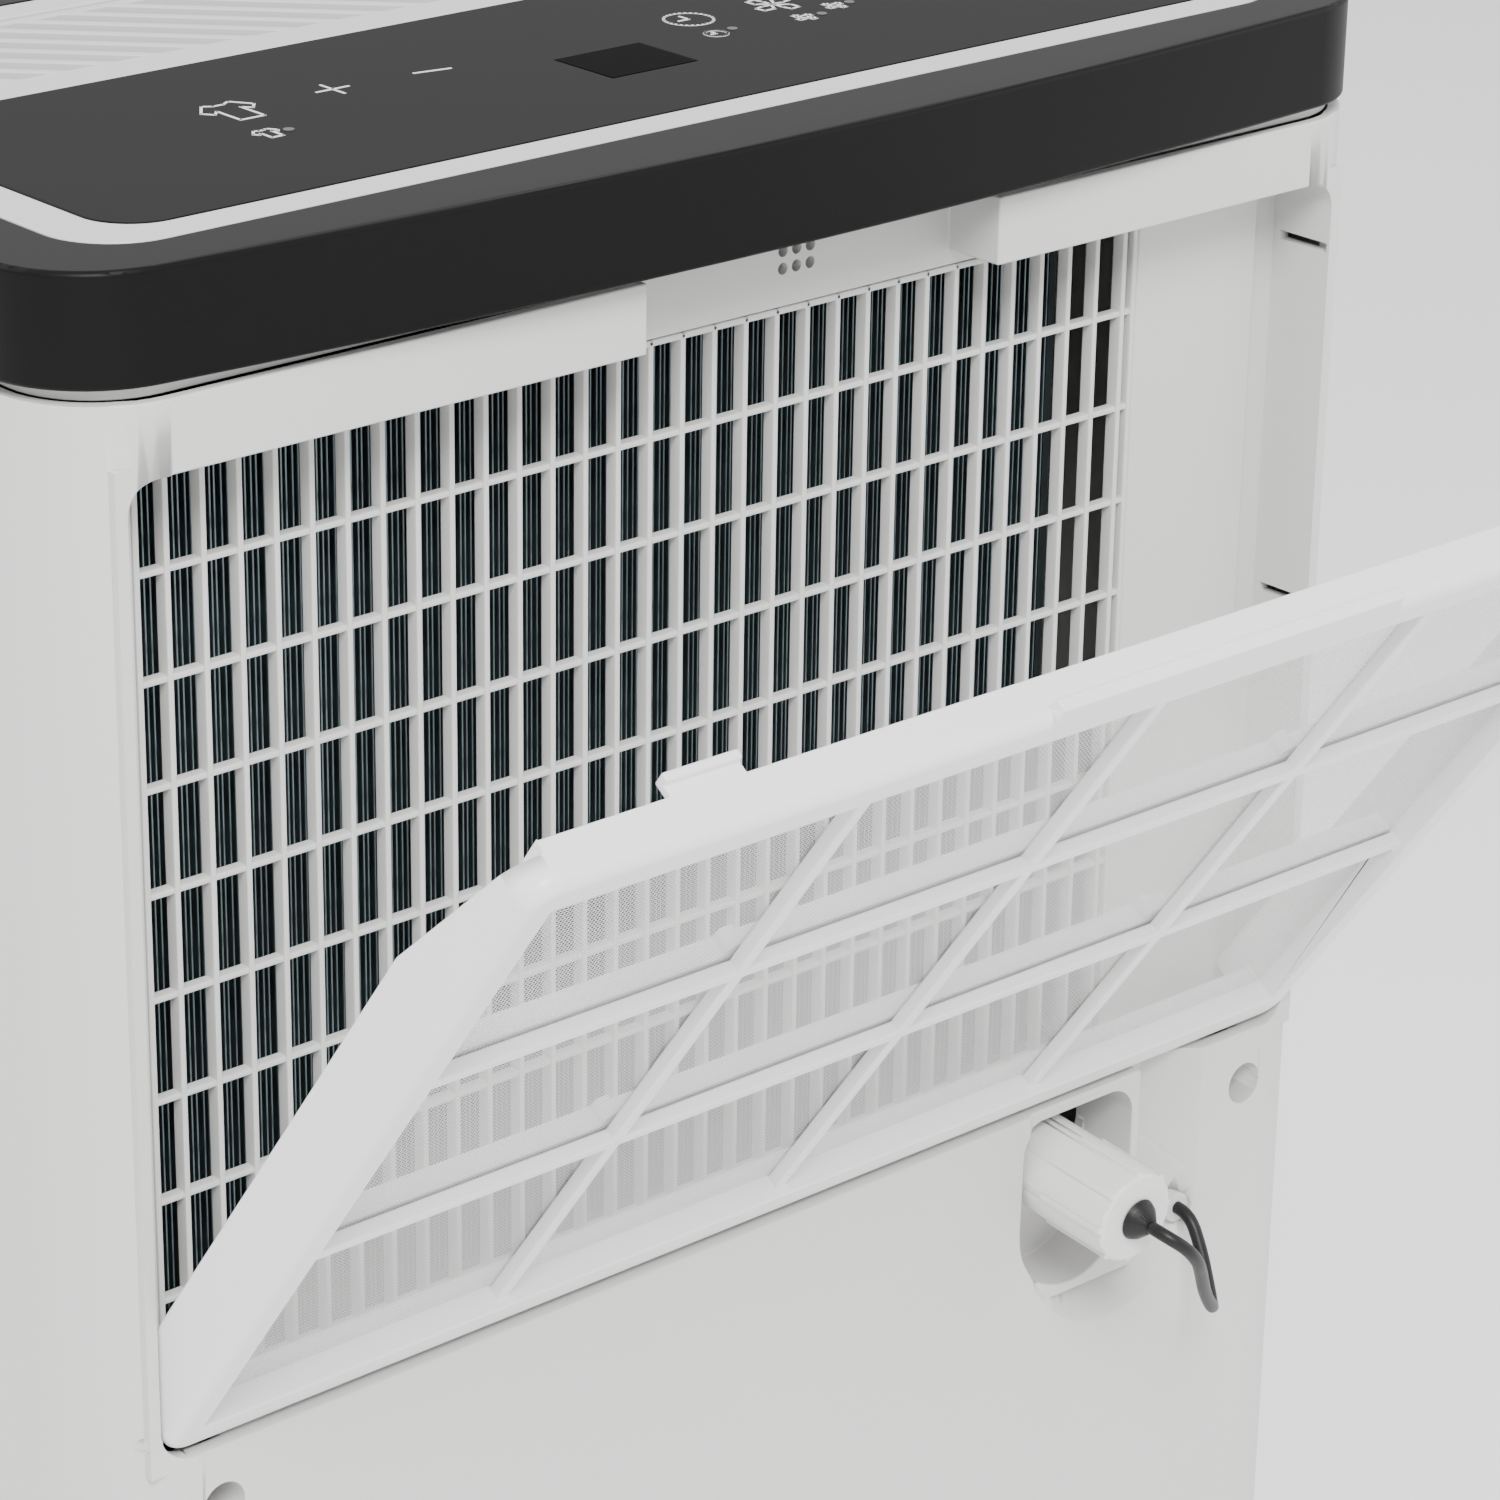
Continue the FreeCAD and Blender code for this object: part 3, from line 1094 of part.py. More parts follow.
def fan_motor():
    """The fan's motor, bolted to the front of the scroll."""
    rear = "fan_front - scroll_gap - scroll_wall"
    can = rod("Y", "0", f"{rear} - motor_length", "fan_height", "motor_radius", "motor_length")
    bore = rod("Y", "0", f"{rear} - motor_length + 3", "fan_height", "motor_shaft + shaft_play",
               "motor_length")
    return keep(cut(can, bore), "fan_motor")


# ---------------------------------------------------------------- electrics
def power_board():
    board = block("-chassis_side + 5", "-chassis_side + 6.6", "-chassis_front + 16", "-chassis_front + 90",
                  PLATE_TOP, f"{PLATE_TOP} + 130")
    relay = block("-chassis_side + 6.6", "-chassis_side + 24", "-chassis_front + 30", "-chassis_front + 58",
                  f"{PLATE_TOP} + 70", f"{PLATE_TOP} + 92")
    coil = block("-chassis_side + 6.6", "-chassis_side + 30", "-chassis_front + 30", "-chassis_front + 70",
                 f"{PLATE_TOP} + 20", f"{PLATE_TOP} + 56")
    return keep(fuse(board, relay, coil), "power_board")


def run_capacitor():
    """The compressor's run capacitor, standing on the shelf."""
    can = rod("Z", "-chassis_side + 30", "0", PLATE_TOP, "20", "72")
    return keep(can, "run_capacitor")


def humidity_sensor():
    """The humidity sensor behind the small holes over the grille."""
    left = "-sensor_left - sensor_pitch * 2 - 7"
    box = block(left, "7 - sensor_left", f"{BLOCK_FRONT} - 9", BLOCK_FRONT, "coil_top + coil_end + 1",
                "housing_top - 1")
    return keep(box, "humidity_sensor")


def tank_switch():
    """The switch on the bay wall that the tank's rear presses when it is fully in."""
    switch = block("window_offset - 12", "window_offset + 6", "bay_wall_front - 4", "bay_wall_front",
                   f"{TANK_TOP} - 34", f"{TANK_TOP} - 14")
    return keep(switch, "tank_switch")


def cord_gland():
    """The moulded gland low on the rear face where the mains lead goes in."""
    barrel = rod("Y", "-inlet_offset", f"{INNER_REAR} - 4", "inlet_height", "inlet_radius", "wall + 7")
    collar = rod("Y", "-inlet_offset", REAR, "inlet_height", "inlet_radius + 2.5", "2")
    bore = rod("Y", "-inlet_offset", f"{INNER_REAR} - 5", "inlet_height", "3.6", "wall + 12")
    return keep(cut(fuse(barrel, collar), bore), "cord_gland")


def rear_screws():
    """The two screws that sit deep in the rear face: one node, two separate solids."""
    screws = []
    seat = f"{REAR} - screw_depth"
    for x in ("screw_offset", "-screw_offset"):
        head = rod("Y", x, seat, "screw_height", "screw_radius", "2.4")
        shank = rod("Y", x, f"{seat} - 7", "screw_height", "shank_radius", "7.5")
        slots = [block(f"{x} - 2.2", f"{x} + 2.2", f"{seat} + 1", f"{seat} + 3", "screw_height - 0.45",
                       "screw_height + 0.45"),
                 block(f"{x} - 0.45", f"{x} + 0.45", f"{seat} + 1", f"{seat} + 3", "screw_height - 2.2",
                       "screw_height + 2.2")]
        screws.append(cut(fuse(head, shank), *slots))
    return keep(fuse(*screws), "rear_screws")


def side_grip(sign, label):
    """A cup in each side of the front shell, for lifting the machine."""
    front, rear = "grip_front + fit_gap / 3", "grip_front + grip_length - fit_gap / 3"
    low, high = "grip_height - grip_rise / 2 + fit_gap / 3", "grip_height + grip_rise / 2 - fit_gap / 3"
    inside, outside = f"{SIDE} - grip_depth", SIDE
    cup = cut(block(inside, outside, front, rear, low, high),
              block(f"{inside} + wall", f"{outside} + 1", f"{front} + wall", f"{rear} - wall",
                    f"{low} + wall", f"{high} - wall"))
    if sign < 0:
        turned = doc.addObject("Part::Mirroring", "Mirror")
        turned.Source = cup
        turned.Normal = FreeCAD.Vector(1, 0, 0)
        cup = turned
    return keep(cup, label)


def side_grip_right():
    return side_grip(1, "side_grip_right")


def side_grip_left():
    return side_grip(-1, "side_grip_left")


# ---------------------------------------------------------------- water tank
TANK_FRONT = "-body_depth / 2 + tank_front_thick"


def water_tank():
    """The tank: an open box with a finger pocket moulded into its front wall."""
    half = "tank_width / 2"
    rear = f"{TANK_FRONT} + tank_depth"
    box = soften(block(f"-{half}", half, TANK_FRONT, rear, "tank_bottom", TANK_TOP),
                 lambda edge: near(edge, y=num(rear)) and along(edge, 2), "tank_corner")
    inner = soften(block(f"tank_wall - {half}", f"{half} - tank_wall", f"{TANK_FRONT} + tank_wall",
                         f"{rear} - tank_wall", "tank_bottom + tank_wall", f"{TANK_TOP} + 1"),
                   lambda edge: near(edge, y=num(f"{rear} - tank_wall")) and along(edge, 2),
                   "tank_corner - tank_wall")
    slot = "grip_slot / 2 + tank_wall"
    shroud = block(f"-({slot})", slot, TANK_FRONT, f"{TANK_FRONT} + grip_slot_depth + tank_wall",
                   "grip_slot_low - tank_wall", "grip_slot_low + grip_slot_rise + tank_wall")
    pocket = block("-grip_slot / 2", "grip_slot / 2", f"{TANK_FRONT} - 1",
                   f"{TANK_FRONT} + grip_slot_depth",
                   "grip_slot_low", "grip_slot_low + grip_slot_rise")
    return keep(cut(box, cut(inner, shroud), pocket), "water_tank")


def tank_front():
    """The tank's front panel, flush with the front shell, with the finger slot and the level window."""
    half = "tank_width / 2"
    panel = soften(block(f"-{half}", half, f"-({REAR})", TANK_FRONT, "base_top + bay_side_gap", TANK_TOP),
                   lambda edge: near(edge, y=-num(REAR)), "tank_front_thick / 3")
    slot = block("-grip_slot / 2", "grip_slot / 2", f"-({REAR}) - 1", f"{TANK_FRONT} + 1", "grip_slot_low",
                 "grip_slot_low + grip_slot_rise")
    glass = block("window_offset - window_width / 2", "window_offset + window_width / 2", f"-({REAR}) - 1",
                  f"{TANK_FRONT} + 1", "window_low", "window_low + window_rise")
    return keep(cut(panel, slot, glass), "tank_front")


def level_window():
    """The clear strip in the tank's front panel."""
    gap = "fit_gap / 3"
    strip = block(f"window_offset - window_width / 2 + {gap}", f"window_offset + window_width / 2 - {gap}",
                  f"-({REAR}) + tank_front_thick / 4", TANK_FRONT, f"window_low + {gap}",
                  f"window_low + window_rise - {gap}")
    return keep(strip, "level_window")


def tank_lid():
    """The tank's clip-on lid, with the fill hole and the two ears that the float swings in."""
    half = "tank_width / 2"
    rear = f"{TANK_FRONT} + tank_depth"
    plate = block(f"1 - {half}", f"{half} - 1", f"{TANK_FRONT} + 1", f"{rear} - 4", TANK_TOP,
                  f"{TANK_TOP} + lid_thick")
    fill = rod("Z", "-fill_offset", f"{rear} - fill_radius * 2", f"{TANK_TOP} - 1", "fill_radius",
               "lid_thick + 2")
    ears = [block(f"float_offset + {at}", f"float_offset + {at} + 3", f"{FLOAT_Y} - 4", f"{FLOAT_Y} + 4",
                  f"{FLOAT_Z} - 4", TANK_TOP) for at in (-7, 4)]
    pin = rod("X", "float_offset - 7", FLOAT_Y, FLOAT_Z, "1.5", "14")
    return keep(fuse(cut(plate, fill), *ears, pin), "tank_lid")


FLOAT_Y = f"{TANK_FRONT} + tank_depth - 16"
FLOAT_Z = f"{TANK_TOP} - 8"


def tank_float():
    """The float that trips the full-tank switch: a foam block on an arm, hanging down when empty."""
    arm = cut(fuse(block("-2.5", "2.5", "-float_arm", "0", "-2.5", "2.5"),
                   rod("X", "-2.5", "0", "0", "3.4", "5")),
              rod("X", "-4", "0", "0", "1.5 + axle_play", "8"))
    foam = block("-float_size / 2", "float_size / 2", "-float_arm - float_size / 2",
                 "-float_arm + float_size / 2",
                 "-12", "-2.5")
    lever = fuse(arm, foam)
    place(lever, x="float_offset", y=FLOAT_Y, z=FLOAT_Z, axis=(1, 0, 0), angle="float_rest")
    return keep(lever, "tank_float")


# ---------------------------------------------------------------- castors
def castor_fork(x, y, label):
    """A castor's swivel fork: two cheeks, a crown, a stem that turns in the base, and the wheel's axle."""
    inner = "wheel_width / 2 + fork_gap"
    outer = f"{inner} + fork_wall"
    low, crown = "wheel_radius - axle_radius * 2.4", "crown_top - fork_wall"
    reach = "axle_radius * 2.4"
    cheeks = [block(left, right, f"castor_trail - {reach}", f"castor_trail + {reach}", low, crown)
              for left, right in ((f"-({outer})", f"-({inner})"), (inner, outer))]
    top = block(f"-({outer})", outer, "-stem_radius * 1.5", f"castor_trail + {reach}", crown, "crown_top")
    stem = rod("Z", "0", "0", "crown_top", "stem_radius", "boss_top - crown_top - 1")
    axle = rod("X", f"-({outer})", "castor_trail", "wheel_radius", "axle_radius", f"2 * ({outer})")
    fork = fuse(*cheeks, top, stem, axle)
    place(fork, x=x, y=y)
    return keep(fork, label)


def castor_wheel(x, y, label):
    """A castor's wheel, modelled about its own axle and then set in its fork."""
    half = "wheel_width / 2"
    bore = "axle_radius + axle_play"
    body = revolved(label, [(bore, f"-{half}"), ("wheel_radius - 2", f"-{half}"),
                            ("wheel_radius", f"2 - {half}"),
                            ("wheel_radius", f"{half} - 2"), ("wheel_radius - 2", half), (bore, half)])
    place(body, x=x, y=f"{y} + castor_trail", z="wheel_radius", axis=(0, 1, 0), angle="90")
    return keep(body, label)


CORNERS = {"front_left": ("-castor_offset_x", "-castor_offset_y"),
           "front_right": ("castor_offset_x", "-castor_offset_y"),
           "rear_left": ("-castor_offset_x", "castor_offset_y"),
           "rear_right": ("castor_offset_x", "castor_offset_y")}


def castors():
    for corner, (x, y) in CORNERS.items():
        castor_fork(x, y, f"castor_fork_{corner}")
        castor_wheel(x, y, f"castor_wheel_{corner}")


# ---------------------------------------------------------------- the whole machine
SUB_PARTS = [base_tray, front_housing, rear_housing, top_frame, top_cover, outlet_frame, outlet_slats,
             control_panel, display_window, control_board, intake_grille, filter_frame, filter_mesh,
             drain_cap,
             drain_plug, drain_tether, tether_anchor, condensate_tray, chassis_plate, bay_wall, drip_chute,
             evaporator,
             evaporator_bends, condenser, condenser_bends, compressor, compressor_feet, refrigerant_pipes,
             fan_scroll, fan_impeller, fan_motor, power_board, run_capacitor, humidity_sensor, tank_switch,
             cord_gland, rear_screws, side_grip_left, side_grip_right, water_tank, tank_front, level_window,
             tank_lid, tank_float, castors]

for maker in SUB_PARTS:
    maker()
doc.recompute()

for thing in doc.Objects:
    if "Invalid" in thing.State or "Error" in thing.State:
        raise ValueError(f"{thing.Name} could not be built")
for piece in parts:
    if piece.Shape.isNull() or not piece.Shape.isValid():
        raise ValueError(f"{piece.Label} has no sound shape")

os.makedirs("parts", exist_ok=True)
for piece in parts:
    piece.Shape.exportStep(f"parts/{piece.Label}.step")
print("wrote", len(parts), "parts")
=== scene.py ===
"""The finished look of a rolling dehumidifier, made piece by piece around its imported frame."""

import math

import bmesh
import bpy
from mathutils import Matrix, Vector


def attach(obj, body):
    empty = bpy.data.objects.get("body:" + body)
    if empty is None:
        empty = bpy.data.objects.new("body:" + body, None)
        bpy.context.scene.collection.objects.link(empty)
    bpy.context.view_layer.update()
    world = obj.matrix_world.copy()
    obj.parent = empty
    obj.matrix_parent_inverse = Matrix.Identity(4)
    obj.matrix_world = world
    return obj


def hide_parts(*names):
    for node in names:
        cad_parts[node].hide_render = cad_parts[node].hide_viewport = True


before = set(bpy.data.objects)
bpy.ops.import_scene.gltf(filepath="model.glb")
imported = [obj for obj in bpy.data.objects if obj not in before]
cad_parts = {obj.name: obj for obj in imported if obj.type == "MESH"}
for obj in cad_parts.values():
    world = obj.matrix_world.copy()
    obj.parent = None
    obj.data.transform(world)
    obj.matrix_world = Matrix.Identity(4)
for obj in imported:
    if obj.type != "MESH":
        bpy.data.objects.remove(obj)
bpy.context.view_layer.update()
scene = bpy.context.scene

# ---------------------------------------------------------------- camera
# A long lens stands above and behind the machine, and looks down on its rear face and top.
# The camera is turned a little on its own axis.
LENS = 117.9
SENSOR = 36
CAMERA_PLACE = (0.6111, 0.7999, 0.7616)
CAMERA_SIGHT = (-0.616, -0.689, -0.382)
CAMERA_UP = (-0.243, -0.295, 0.924)
camera_data = bpy.data.cameras.new("camera")
camera_data.lens = LENS
camera_data.sensor_width = SENSOR
camera = bpy.data.objects.new("camera", camera_data)
scene.collection.objects.link(camera)
sight = Vector(CAMERA_SIGHT).normalized()
level = sight.cross(Vector(CAMERA_UP)).normalized()
camera.matrix_world = (Matrix.Translation(CAMERA_PLACE)
                       @ Matrix((level, level.cross(sight), -sight)).transposed().to_4x4())
scene.camera = camera

# ---------------------------------------------------------------- drain plug's tether
# A limp strap of black rubber, moulded with the plug. It leaves the plug's tip, droops, folds back
# on itself and ends on a stud in the rear face.
TETHER_THICK = 0.003
PORT_X, PORT_Y, PORT_Z = -0.084, 0.1275, 0.2635
PORT_TILT = math.radians(5)
PLUG_TIP = 0.028
TETHER_ROUTE = [(0, 0, 0), (0, 4.2, -0.37), (-3.6, 7, -3.4), (-8.6, 6, -8.6), (-13.6, 2.6, -14.6),
                (-19, -1.4, -21.6), (-25, -5.4, -28.6), (-30.4, -8.6, -34), (-34.6, -12.6, -36.4),
                (-37, -16.6, -32.4), (-38.2, -20.2, -26.4)]
STUD_END = Vector((-0.123, 0.1265, 0.2412))
STUD_RUN = 0.004

MM = 0.001

tip = Vector((PORT_X, PORT_Y + PLUG_TIP * math.cos(PORT_TILT), PORT_Z - PLUG_TIP * math.sin(PORT_TILT)))
tether_points = [tip + Vector(step) * MM for step in TETHER_ROUTE]
tether_points += [STUD_END + Vector((0, STUD_RUN, 0)), STUD_END]


def finish(name, colour, roughness, metal=0.0, coat=0.0, mottle=0.04, grain=0.0, clear=0.0, gloss=0.5):
    """A procedural finish: a plain colour, which may wander a little, and an optional moulded grain."""
    made = bpy.data.materials.new(name)
    made.use_nodes = True
    nodes, links = made.node_tree.nodes, made.node_tree.links
    shader = nodes["Principled BSDF"]
    shader.inputs["Roughness"].default_value = roughness
    shader.inputs["Metallic"].default_value = metal
    shader.inputs["Coat Weight"].default_value = coat
    shader.inputs["Specular IOR Level"].default_value = gloss
    shader.inputs["Transmission Weight"].default_value = clear
    shader.inputs["Base Color"].default_value = (*colour, 1)
    if mottle or grain:
        place = nodes.new("ShaderNodeTexCoord")
    if mottle:
        cloud = nodes.new("ShaderNodeTexNoise")
        cloud.inputs["Scale"].default_value = 14
        cloud.inputs["Detail"].default_value = 3
        links.new(place.outputs["Object"], cloud.inputs["Vector"])
        tones = nodes.new("ShaderNodeValToRGB")
        for stop, share in zip(tones.color_ramp.elements, (1 - mottle, 1 + mottle)):
            stop.color = (*(min(1, part * share) for part in colour), 1)
        tones.color_ramp.elements[0].position = 0.35
        tones.color_ramp.elements[1].position = 0.65
        links.new(cloud.outputs["Fac"], tones.inputs["Fac"])
        links.new(tones.outputs["Color"], shader.inputs["Base Color"])
    if grain:
        pores = nodes.new("ShaderNodeTexNoise")
        pores.inputs["Scale"].default_value = 1500
        bump = nodes.new("ShaderNodeBump")
        bump.inputs["Strength"].default_value = grain
        bump.inputs["Distance"].default_value = 0.0001
        links.new(place.outputs["Object"], pores.inputs["Vector"])
        links.new(pores.outputs["Fac"], bump.inputs["Height"])
        links.new(bump.outputs["Normal"], shader.inputs["Normal"])
    return made


black_rubber = finish("black_rubber", (0.008, 0.008, 0.0085), 0.42, grain=0.3, gloss=0.3)

tether_line = bpy.data.curves.new("tether", "CURVE")
tether_line.dimensions = "3D"
tether_line.bevel_depth = TETHER_THICK / 2
tether_line.bevel_resolution = 6
tether_line.resolution_u = 16
tether_line.use_fill_caps = True
run = tether_line.splines.new("NURBS")
run.points.add(len(tether_points) - 1)
for point, spot in zip(run.points, tether_points):
    point.co = (*spot, 1)
run.order_u = 3
run.use_endpoint_u = True
tether = bpy.data.objects.new("tether", tether_line)
scene.collection.objects.link(tether)
tether.data.materials.append(black_rubber)
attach(tether, "drain_plug")
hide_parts("drain_tether")

# ---------------------------------------------------------------- housing shells
# The front and rear shells, the ledge, the base and the tank's front are moulded in warm white plastic
# with a satin surface. Their wide faces meet in the small radius that the mould leaves.
SMOOTH_ANGLE = math.radians(38)
EDGE_ANGLE = math.radians(32)
FLAT_CORNERS = 12
MERGE_REACH = 0.000005
FLAT_ANGLE = math.radians(0.5)


def shaded(mesh):
    """Smooth shading that keeps the real corners sharp, and a broad face with many corners flat."""
    for face in mesh.polygons:
        face.use_smooth = face.loop_total < FLAT_CORNERS
    mesh.set_sharp_from_angle(angle=SMOOTH_ANGLE)


def add_piece(bm, name, body, slot, surface, *replaced):
    """Puts a finished bmesh in the scene: it rides a body and may stand for nodes. Its slot is not used."""
    mesh = bpy.data.meshes.new(name)
    bm.to_mesh(mesh)
    bm.free()
    shaded(mesh)
    piece = bpy.data.objects.new(name, mesh)
    scene.collection.objects.link(piece)
    piece.data.materials.append(surface)
    level_faces = piece.modifiers.new("level_faces", "WEIGHTED_NORMAL")
    level_faces.keep_sharp = True
    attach(piece, body)
    if replaced:
        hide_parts(*replaced)
    return piece


def node_bmesh(node):
    """A node's shape with its triangles merged into whole faces."""
    bm = bmesh.new()
    bm.from_mesh(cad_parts[node].data)
    bmesh.ops.remove_doubles(bm, verts=bm.verts, dist=MERGE_REACH)
    bmesh.ops.dissolve_limit(bm, angle_limit=FLAT_ANGLE, verts=bm.verts, edges=bm.edges)
    return bm


def wide_enough(face, radius):
    """Is the face wide enough across to lose a rounding on both sides?"""
    longest = max(edge.calc_length() for edge in face.edges)
    return longest > 0 and face.calc_area() / longest > radius * 2.4


def round_edges(bm, radius, spare=None, steps=2):
    """Rounds the sharp edges between faces wide enough for it, apart from those that spare picks."""
    edges = [edge for edge in bm.edges if len(edge.link_faces) == 2
             and edge.calc_face_angle(0) > EDGE_ANGLE and not (spare and spare(edge))
             and all(wide_enough(face, radius) for face in edge.link_faces)]
    bmesh.ops.bevel(bm, geom=edges, offset=radius, offset_type="OFFSET", affect="EDGES", segments=steps,
                    profile=0.5, material=-1, clamp_overlap=False)


def moulding(node, body, slot, surface, radius=0.0005, spare=None, steps=2):
    """A moulded piece: its node's shape with rounded edges."""
    bm = node_bmesh(node)
    round_edges(bm, radius, spare, steps)
    return add_piece(bm, node + "_moulded", body, slot, surface, node)


def edge_middle(edge):
    """The point halfway along an edge."""
    return (edge.verts[0].co + edge.verts[1].co) / 2


def in_side_channel(edge):
    """Does the edge lie in the channels beside the recess, which stay sharp?"""
    middle = edge_middle(edge)
    return abs(middle.x) > CHANNEL_SIDE and middle.y < CHANNEL_FACE and middle.z > CHANNEL_LOW


warm_white = finish("warm_white", (0.60, 0.597, 0.585), 0.38, mottle=0.006, grain=0.12)
moulding("front_housing", "housing", "housing_plastic", warm_white, 0.0006)
CHANNEL_SIDE, CHANNEL_FACE, CHANNEL_LOW = 0.1545, 0.1265, 0.27
moulding("rear_housing", "housing", "housing_plastic", warm_white, 0.0005, in_side_channel)
moulding("top_frame", "housing", "housing_plastic", warm_white, 0.0004)
moulding("tank_front", "tank", "housing_plastic", warm_white, 0.0005)
base_white = finish("base_white", (0.60, 0.595, 0.58), 0.42, mottle=0.006, grain=0.15)
moulding("base_tray", "housing", "base_plastic", base_white, 0.0007)
moulding("side_grip_left", "housing", "housing_plastic", warm_white, 0.0006)
moulding("side_grip_right", "housing", "housing_plastic", warm_white, 0.0006)

# ---------------------------------------------------------------- intake grille
# A moulded lattice of the housing's white plastic stands in the recess, before the coil.
# Its upright bars have rounded fronts, and its level bars lie a little behind them.
GRILLE_START, GRILLE_END = 0.14525, -0.11005
GRILLE_TOP, GRILLE_LOW = 0.47305, 0.28399
GRILLE_PITCH, GRILLE_ROW, GRILLE_BAR = 0.00814, 0.02104, 0.00135
GRILLE_FACE, GRILLE_DEEP, LEVEL_BACK = 0.113, 0.0032, 0.0003
GRILLE_EDGE = 0.00015
COLUMN_BARS, LEVEL_BARS = 31, 8
BAR_ROUND = 0.0004


def bar(bm, low, high):
    """A plain bar between two opposite corners."""
    low, high = Vector(low), Vector(high)
    bmesh.ops.create_cube(bm, size=1, matrix=Matrix.Translation((low + high) / 2)
                          @ Matrix.Diagonal((*(high - low), 1)))


grille = bmesh.new()
back = GRILLE_FACE - GRILLE_DEEP
for column in range(COLUMN_BARS):
    x = GRILLE_START + GRILLE_EDGE - GRILLE_PITCH * (column + 1)
    bar(grille, (x, back, GRILLE_LOW), (x + GRILLE_BAR, GRILLE_FACE, GRILLE_TOP))
for row in range(LEVEL_BARS):
    z = GRILLE_TOP + GRILLE_EDGE - GRILLE_ROW * (row + 1)
    bar(grille, (GRILLE_END, back + LEVEL_BACK, z),
        (GRILLE_START, GRILLE_FACE - LEVEL_BACK, z + GRILLE_BAR))
for low_corner, high_corner in (((GRILLE_END, GRILLE_LOW), (GRILLE_END + GRILLE_BAR, GRILLE_TOP)),
                                ((GRILLE_START - GRILLE_BAR, GRILLE_LOW), (GRILLE_START, GRILLE_TOP)),
                                ((GRILLE_END, GRILLE_LOW), (GRILLE_START, GRILLE_LOW + GRILLE_BAR)),
                                ((GRILLE_END, GRILLE_TOP - GRILLE_BAR), (GRILLE_START, GRILLE_TOP))):
    bar(grille, (low_corner[0], back, low_corner[1]), (high_corner[0], GRILLE_FACE, high_corner[1]))
bmesh.ops.bevel(grille, geom=grille.edges[:], offset=BAR_ROUND, offset_type="OFFSET", affect="EDGES",
                segments=2, profile=0.5, material=-1)
add_piece(grille, "intake_grille_bars", "housing", "housing_plastic", warm_white, "intake_grille")

# ---------------------------------------------------------------- top cover
# A charcoal lid is moulded in satin plastic and clipped over the ledge.
# Its rim has a soft edge, and a light frame lies in its middle.
charcoal = finish("charcoal", (0.0034, 0.0034, 0.0036), 0.42, mottle=0.03, grain=0.1, gloss=0.12)
moulding("top_cover", "housing", "cover_plastic", charcoal, 0.0008, steps=3)

# ---------------------------------------------------------------- light frame and air outlet
# A pale grey ring is moulded round the control panel and let into the cover.
# It carries the slanted slats of the air outlet.
pale_grey = finish("pale_grey", (0.56, 0.56, 0.555), 0.4, mottle=0.01, grain=0.1)
moulding("outlet_frame", "housing", "trim_plastic", pale_grey, 0.0004)
moulding("outlet_slats", "housing", "trim_plastic", pale_grey, 0.00035)

# ---------------------------------------------------------------- control panel
# A dark satin touch plate lies in the light frame, with a display window let into it.
# Thin signs are printed on it over the touch springs, each with a small lamp beside it.
panel_black = finish("panel_black", (0.0055, 0.0055, 0.006), 0.45, mottle=0.02, gloss=0.06)
display_black = finish("display_black", (0.001, 0.001, 0.0012), 0.45, mottle=0.0, gloss=0.01)
moulding("control_panel", "housing", "panel_plastic", panel_black, 0.0003)
moulding("display_window", "housing", "display_glass", display_black, 0.0002)
print_white = finish("print_white", (0.7, 0.7, 0.7), 0.5, mottle=0.0)
print_grey = finish("print_grey", (0.09, 0.09, 0.09), 0.5, mottle=0.0)
PANEL_TOP = 0.515
INK = 0.00012
STROKE = 0.00055
STROKE_CAP = 0.9
LAMP_RADIUS = 1.1


def stroke(bm, points, width=STROKE, closed=False):
    """A printed line through points given in millimetres on the panel, as thin raised bars."""
    spots = [Vector((x * MM, y * MM, PANEL_TOP + INK / 2)) for x, y in points]
    if closed:
        spots.append(spots[0])
    for start, end in zip(spots, spots[1:]):
        across = end - start
        turn = Matrix.Rotation(math.atan2(across.y, across.x), 4, "Z")
        bmesh.ops.create_cube(bm, size=1, matrix=Matrix.Translation((start + end) / 2) @ turn
                              @ Matrix.Diagonal((across.length + width * STROKE_CAP, width, INK, 1)))


def ring_points(x, y, radius, count=28, start=0, sweep=360):
    """Points on a circle or an arc, in millimetres."""
    return [(x + radius * math.cos(math.radians(start + sweep * step / count)),
             y + radius * math.sin(math.radians(start + sweep * step / count))) for step in range(count + 1)]


def dot(bm, x, y, radius):
    """A small printed lamp spot."""
    bmesh.ops.create_cone(bm, cap_ends=True, segments=20, radius1=radius * MM, radius2=radius * MM,
                          depth=INK, matrix=Matrix.Translation((x * MM, y * MM, PANEL_TOP + INK / 2)))


def clock_mark(bm, x, y, radius):
    """A clock's rim and two hands, for the timer."""
    stroke(bm, ring_points(x, y, radius))
    stroke(bm, [(x, y - radius * 0.55), (x, y), (x + radius * 0.5, y)])


def fan_mark(bm, x, y, radius):
    """Four blade outlines round a hub."""
    for quarter in range(4):
        turn = math.radians(90 * quarter + 20)
        blade = [(0.12, 0), (0.55, 0.38), (1, 0.22), (0.92, -0.2), (0.5, -0.16), (0.12, 0)]
        stroke(bm, [(x + radius * (a * math.cos(turn) - b * math.sin(turn)),
                     y + radius * (a * math.sin(turn) + b * math.cos(turn))) for a, b in blade])


def tank_mark(bm, x, y, size):
    """A bucket outline with a water line."""
    stroke(bm, [(x - size, y - size * 0.8), (x + size, y - size * 0.8), (x + size * 0.8, y + size * 0.8),
                (x - size * 0.8, y + size * 0.8)], closed=True)
    stroke(bm, [(x - size * 0.5, y), (x, y + size * 0.25), (x + size * 0.5, y)])


